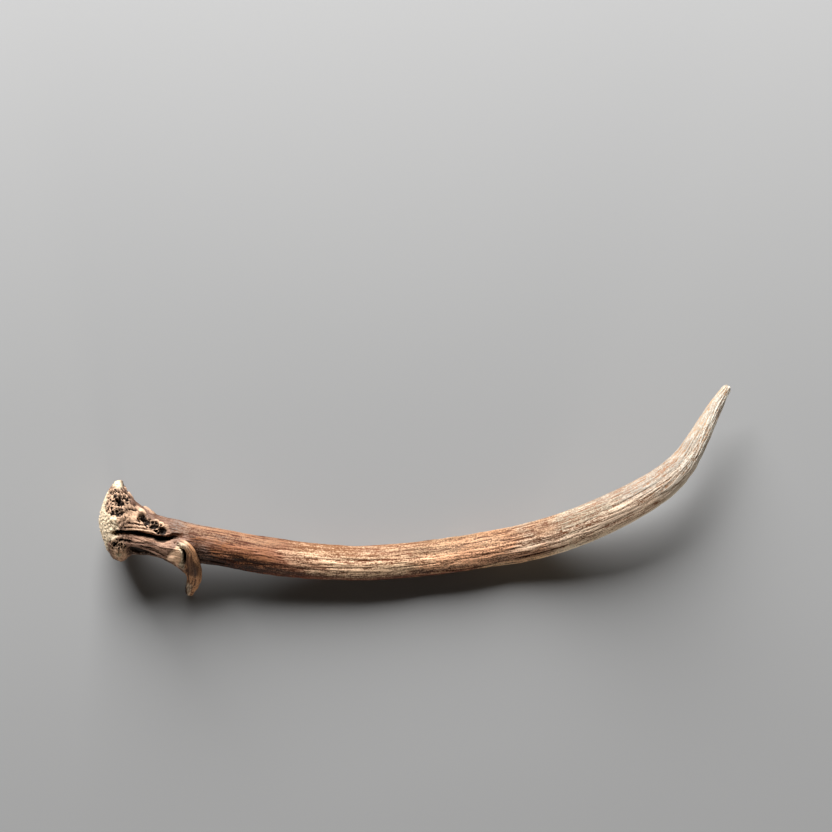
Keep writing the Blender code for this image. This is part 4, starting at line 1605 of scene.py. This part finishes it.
# ---------------------------------------------------------------- the whole skin
@dataclass
class AntlerSkin:
    """The fused skin of beam and tine, with its relief and the attributes that its material reads.

    The hollow measures hold how often the surface is evened out, and the depth below it that counts as one.
    """

    beam: Beam
    tine: BrowTine
    tine_marks: TineMarks = TineMarks()
    tone_marks: ToneMarks = ToneMarks()
    worn: float = 0.4
    burr_end: Span = (3.0, 14.0)
    joint_share: float = 0.6
    joint_reach: int = 8
    joint_gain: float = 6.0
    joint_times: int = 14
    grit_height: float = 0.22
    grit_size: float = 1.9
    granule_height: float = 0.6
    granule_size: float = 1.9
    hollow_measures: tuple[tuple[int, float], ...] = ((6, 0.16), (50, 1.0))

    def build(self, material: bpy.types.Material) -> bpy.types.Object:
        """Build the skin.

        Args:
            material: The bone's finish.

        Returns:
            The object, finished and at the origin.
        """
        skins = self.beam.skins()
        item = new_object("antler_skin", *ring_faces(skins))
        item.data.materials.append(bpy.data.materials.new("beam_mark"))
        for name, stations in (("buttress", self.tine.buttress), ("tine", self.tine.stations)):
            tube = new_object(name, *ring_faces(self.tine.tube(stations)))
            tube.data.materials.append(bpy.data.materials.new(name + "_mark"))
            self.fuse(item, tube)
        self.soften_joint(item.data)
        raw = mesh_points(item.data)
        shift = self.settle(item.data)
        tine_cover = self.mark(item.data, raw)
        self.carry_paint(item.data, raw, skins, tine_cover)
        item.data.shade_smooth()
        item.data.materials.clear()
        self.relief(material).apply_to(item)
        self.measure_hollows(item.data)
        item.data.shade_smooth()
        log.info("antler_skin: %d points, shifted %s", len(item.data.vertices), np.round(shift, 2))
        return item

    def fuse(self, item: bpy.types.Object, tube: bpy.types.Object) -> None:
        """Join a tube to the skin with an exact Boolean.

        Args:
            item: The skin, which is changed.
            tube: The tube, which is deleted.
        """
        union = item.modifiers.new("Union", "BOOLEAN")
        union.operation, union.solver, union.object = "UNION", "EXACT", tube
        union.material_mode = "TRANSFER"
        apply_modifiers(item)
        bpy.data.objects.remove(tube, do_unlink=True)

    def soften_joint(self, mesh: bpy.types.Mesh) -> None:
        """Round the crease where the tubes meet the beam.

        It is found by the materials of the faces, which only mark what is beam and what is tube until then.

        Args:
            mesh: The skin, which is changed.
        """
        marks = read_flat(mesh.polygons, "material_index", np.int32)
        corners = read_flat(mesh.loops, "vertex_index", np.int32)
        mark_of_corner = np.repeat(marks, read_flat(mesh.polygons, "loop_total", np.int32))
        low = np.full(len(mesh.vertices), len(mesh.materials))
        high = np.full(len(mesh.vertices), -1)
        np.minimum.at(low, corners, mark_of_corner)
        np.maximum.at(high, corners, mark_of_corner)
        seam = (low != high).astype(float)[:, None]
        edges = mesh_edges(mesh)
        near = np.clip(relax(seam, edges, self.joint_reach, self.joint_share) * self.joint_gain, 0.0, 1.0)
        set_points(mesh, relax(mesh_points(mesh), edges, self.joint_times, self.joint_share * near))

    def settle(self, mesh: bpy.types.Mesh) -> np.ndarray:
        """Lay the skin where the solids lie, worn flat where it touches the ground.

        Args:
            mesh: The skin, which is changed.

        Returns:
            By how much it was shifted.
        """
        points = mesh_points(mesh)
        low, high = points.min(axis=0), points.max(axis=0)
        cad_low, cad_high = np.array(cad_box[0]) / MM, np.array(cad_box[1]) / MM
        shift = 0.5 * (cad_low + cad_high) - 0.5 * (low + high)
        shift[2] = -self.worn
        points = points + shift
        points[:, 2] = np.maximum(points[:, 2], 0.0)
        set_points(mesh, points)
        return shift

    def mark(self, mesh: bpy.types.Mesh, points: np.ndarray) -> tuple[np.ndarray, np.ndarray]:
        """Store the bone's grain, the place along the beam, the masks of painted highlight and shade, and where
        the tine and the burr are.

        Args:
            mesh: The skin.
            points: Its points before it was laid down.

        Returns:
            How far each point belongs to the tine, and to its pale knuckle.
        """
        marks = self.tine_marks
        grain, share, angle = self.beam.axis.locate(points)
        tine_grain, tine_share, tine_angle = Axis(self.tine.stations).locate(points)
        tine_place = tine_grain[:, 0]
        lead = tine_share - share + marks.before_start.at(-tine_place)
        on_tine = marks.cover(points, grain[:, 0], lead, self.beam)
        before_rim = np.minimum(points[:, 0] - self.beam.stations[0][0], 0.0)
        grain[:, 0] = np.where(before_rim < 0.0, before_rim, grain[:, 0])
        place = grain[:, 0]
        share_along = place / self.beam.axis.length
        crest, under = self.tone_marks.crest_and_under(share_along, np.degrees(angle))
        for name, values in (
                ("grain", np.where(on_tine[:, None] > 0.5, tine_grain + (marks.grain_shift, 0.0, 0.0), grain)),
                ("place", np.clip(share_along, 0.0, 1.0)),
                ("tine", on_tine),
                ("tine_middle", on_tine * marks.middle(tine_place, tine_angle)),
                ("tine_tip", marks.tip(tine_place, tine_angle)),
                ("crest", crest),
                ("under", under),
                ("burr", 1.0 - ease(place, *self.burr_end)),
                ("shade", self.tone_marks.shade(place, angle) * (1.0 - marks.less_shade * on_tine))):
            store(mesh, name, values)
        return on_tine, on_tine * marks.pale_knuckle(points)

    def carry_paint(self, mesh: bpy.types.Mesh, points: np.ndarray, skins: list[Skin],
                    tine_cover: tuple[np.ndarray, np.ndarray]) -> None:
        """Give each point of the fused skin the paint of the nearest point of the worked rings.

        Args:
            mesh: The fused skin.
            points: Its points before it was laid down.
            skins: The worked rings.
            tine_cover: How far each point belongs to the tine, and to its pale knuckle.
        """
        rings = np.vstack([skin.point.reshape(-1, 3) for skin in skins])
        finder = KDTree(len(rings))
        for number, point in enumerate(rings):
            finder.insert(point, number)
        finder.balance()
        nearest = np.array([finder.find(point)[1] for point in points])
        on_tine, knuckle = tine_cover
        for paint in Paint:
            share = np.concatenate([skin.paint[paint].ravel() for skin in skins])[nearest] * (1.0 - on_tine)
            store(mesh, paint.value, np.maximum(share, knuckle) if paint is Paint.CREAM else share)

    def relief(self, material: bpy.types.Material) -> GeometryTree:
        """Make the tree that works fine ridges and grit into the bone, and granules into the burr.

        Args:
            material: The bone's finish.

        Returns:
            The tree.
        """
        size = "NodeSocketFloat"
        tree = GeometryTree("bone_relief", {
            "Ridge depth": (size, BROAD_RIDGES.depth * MM), "Ridge spacing": (size, BROAD_RIDGES.spacing),
            "Ridge length": (size, BROAD_RIDGES.length),
            "Fine depth": (size, FINE_RIDGES.depth * MM), "Fine spacing": (size, FINE_RIDGES.spacing),
            "Fine length": (size, FINE_RIDGES.length),
            "Grit height": (size, self.grit_height * MM), "Grit size": (size, self.grit_size),
            "Granule height": (size, self.granule_height * MM), "Granule size": (size, self.granule_size)})
        given = tree.given
        grain = tree.named("grain", "FLOAT_VECTOR")
        burr = tree.named("burr")
        parts = tree.add("ShaderNodeSeparateXYZ", {0: grain}).outputs

        def ridges(name: str) -> Socket:
            """Work ridges along the grain.

            Args:
                name: The start of the names of their length, spacing and depth.

            Returns:
                How far they stand out.
            """
            sizes = [given[f"{name} {part}"] for part in ("length", "spacing", "spacing")]
            cells = tree.combine([tree.math("DIVIDE", part, cell) for part, cell in zip(parts, sizes)])
            return tree.product(tree.change(tree.creases(cells), RIDGE_SECTION), given[f"{name} depth"])

        def in_cells(name: str) -> Socket:
            """Give the grain in cells of the size that is given under a name."""
            return tree.resize(grain, tree.math("DIVIDE", 1.0, given[f"{name} size"]))

        grit = tree.math("SUBTRACT", tree.noise(in_cells("Grit"), 1.0), 0.5)
        bone = tree.total(ridges("Ridge"), ridges("Fine"), tree.product(grit, given["Grit height"]))
        cobble = tree.add("ShaderNodeTexVoronoi", {"Vector": in_cells("Granule"), "Scale": 1.0, "Randomness": 1.0},
                          feature="SMOOTH_F1").outputs["Distance"]
        granules = tree.product(tree.change(cobble, GRANULE_SECTION), given["Granule height"])
        total = tree.math("MULTIPLY_ADD", granules, burr, tree.product(bone, tree.math("SUBTRACT", 1.0, burr)))
        normal = tree.add("GeometryNodeInputNormal").outputs[0]
        tree.close(tree.move(given["Geometry"], tree.resize(normal, total)), material)
        return tree

    def measure_hollows(self, mesh: bpy.types.Mesh) -> None:
        """Clear the ground of stray points, and store how deep each point lies below its surroundings.

        Args:
            mesh: The skin with its relief, which is changed.
        """
        points = clear_ground(mesh)
        edges = mesh_edges(mesh)
        normals = read_flat(mesh.vertex_normals, "vector", np.float32, 3)
        store(mesh, "hollow", sum(np.einsum("ij,ij->i", relax(points, edges, times) - points, normals) / depth
                                  for times, depth in self.hollow_measures))


# ---------------------------------------------------------------- granules of the burr
@dataclass
class BurrGranules:
    """Small uneven grains of bone that stand on the burr and its seal.

    Spacing and radius are in millimetres, and the other lengths in metres. The flatness is how far a grain
    reaches the other two ways, as shares of its width.
    """

    spacing: float = 1.5
    radius: Span = (0.3, 0.62)
    flatness: Span = (0.8, 0.6)
    density: float = 400000.0
    seed: int = 4
    by_hollow: Change = Change(0.2, 1.2, 1.0, 0.0)
    by_y: Change = Change(-0.008, -0.016, 0.0, 1.0)
    dent_scale: float = 900.0
    dent_depth: float = 0.0007

    def build(self, skin: bpy.types.Object, material: bpy.types.Material) -> bpy.types.Object:
        """Scatter the grains over the burr.

        Args:
            skin: The finished skin of the antler.
            material: The bone's finish.

        Returns:
            The object that holds the grains.
        """
        item = bpy.data.objects.new("burr_granules", skin.data.copy())
        bpy.context.collection.objects.link(item)
        size = "NodeSocketFloat"
        tree = GeometryTree("burr_granules", {
            "Spacing": (size, self.spacing * MM), "Least radius": (size, self.radius[0] * MM),
            "Greatest radius": (size, self.radius[1] * MM), "Density": (size, self.density),
            "Seed": ("NodeSocketInt", self.seed)})
        given = tree.given
        place = tree.add("GeometryNodeInputPosition").outputs[0]
        y = tree.add("ShaderNodeSeparateXYZ", {0: place}).outputs["Y"]
        wanted = tree.product(tree.named("cream"), tree.change(tree.named("hollow"), self.by_hollow),
                              tree.change(y, self.by_y))
        spread = tree.add("GeometryNodeDistributePointsOnFaces", {
            "Mesh": given["Geometry"], "Distance Min": given["Spacing"], "Density Max": given["Density"],
            "Density Factor": wanted, "Seed": given["Seed"]}, distribute_method="POISSON").outputs
        lump = tree.add("GeometryNodeMeshIcoSphere", {"Radius": 1.0, "Subdivisions": 2}).outputs[0]
        wide = tree.add("FunctionNodeRandomValue", {2: given["Least radius"], 3: given["Greatest radius"],
                                                    "Seed": given["Seed"]}, data_type="FLOAT").outputs[1]
        flat = tree.combine([wide, *(tree.product(wide, share) for share in self.flatness)])
        grains = tree.add("GeometryNodeInstanceOnPoints", {
            "Points": spread["Points"], "Instance": lump, "Rotation": spread["Rotation"],
            "Scale": flat}).outputs[0]
        real = tree.add("GeometryNodeRealizeInstances", {0: grains}).outputs[0]
        dents = tree.add("ShaderNodeTexNoise", {
            "Vector": place, "Scale": self.dent_scale, "Detail": 1.0}).outputs["Color"]
        dents = tree.resize(tree.vector("SUBTRACT", dents, (0.5, 0.5, 0.5)), self.dent_depth)
        smooth = tree.add("GeometryNodeSetShadeSmooth", {"Geometry": tree.move(real, dents)}).outputs[0]
        tree.close(smooth, material)
        tree.apply_to(item)
        clear_ground(item.data)
        log.info("burr_granules: %d triangles", len(item.data.polygons))
        return item


# ---------------------------------------------------------------- studio
@dataclass(frozen=True)
class Softbox:
    """A square area light that faces a point."""

    name: str
    place: Point
    aim: Point
    side: float
    power: float
    tint: Colour = (1.0, 1.0, 1.0)

    def build(self) -> None:
        """Hang the light."""
        light = bpy.data.lights.new(self.name, "AREA")
        light.shape, light.size, light.energy, light.color = "SQUARE", self.side, self.power, self.tint
        item = bpy.data.objects.new(self.name, light)
        item.location = self.place
        item.rotation_euler = (Vector(self.aim) - Vector(self.place)).to_track_quat("-Z", "Y").to_euler()
        bpy.context.collection.objects.link(item)


@dataclass
class Studio:
    """A grey floor with painted light, one large softbox beyond the antler, a weak fill, and a camera straight
    above.
    """

    floor_side: float = 8.0
    camera_height: float = 3.0
    frame_width: float = 0.5934
    frame_centre: Span = (0.00107, 0.0535)
    sharp_height: float = 0.02
    sensor: float = 36.0
    sight: float = 50.0
    fill: float = 0.016
    fill_tint: Colour = (1.0, 0.93, 0.8)
    lights: tuple[Softbox, ...] = (
        Softbox("key_softbox", (-1.32, 5.29, 3.15), (0.0, 0.0, 0.0), 4.5, 1230.0),
        Softbox("low_fill", (0.2, -2.95, 0.27), (0.0, 0.0, 0.0), 0.5, 30.0, (1.0, 0.94, 0.84)),
    )

    def build(self) -> None:
        """Set up the floor, the lights and the camera."""
        self.lay_floor()
        for light in self.lights:
            light.build()
        world = bpy.data.worlds.new("studio_world")
        world.use_nodes = True
        background = world.node_tree.nodes["Background"]
        background.inputs["Color"].default_value = (*self.fill_tint, 1.0)
        background.inputs["Strength"].default_value = self.fill
        bpy.context.scene.world = world
        bpy.context.scene.view_settings.view_transform = "Standard"
        self.set_camera()

    def lay_floor(self) -> None:
        """Lay the floor."""
        half = self.floor_side / 2.0 / MM
        corners = np.array([(-half, -half, 0.0), (half, -half, 0.0), (half, half, 0.0), (-half, half, 0.0)])
        floor = new_object("floor", corners, [(0, 1, 2, 3)])
        floor.data.materials.append(FloorFinish().material())

    def set_camera(self) -> None:
        """Set the camera straight above, with the frame's width measured a little above the floor."""
        camera = bpy.data.cameras.new("camera")
        camera.sensor_width = self.sensor
        camera.lens = self.sensor * (self.camera_height - self.sharp_height) / self.frame_width
        camera.clip_end = self.sight
        item = bpy.data.objects.new("camera", camera)
        item.location = (*self.frame_centre, self.camera_height)
        bpy.context.collection.objects.link(item)
        bpy.context.scene.camera = item
        log.info("studio: camera %.2f m above the floor, lens %.0f mm", self.camera_height, camera.lens)


def main() -> None:
    """Build the antler's skin, its burr's grains and the studio, in that order."""
    logging.basicConfig(level=logging.INFO, format="%(message)s", stream=sys.stdout)
    bone = BoneFinish().material()
    skin = AntlerSkin(Beam(), BrowTine()).build(bone)
    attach(skin, "root")
    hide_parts("main_beam", "brow_tine")
    granules = BurrGranules().build(skin, bone)
    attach(granules, "root")
    Studio().build()


if __name__ == "__main__":
    main()
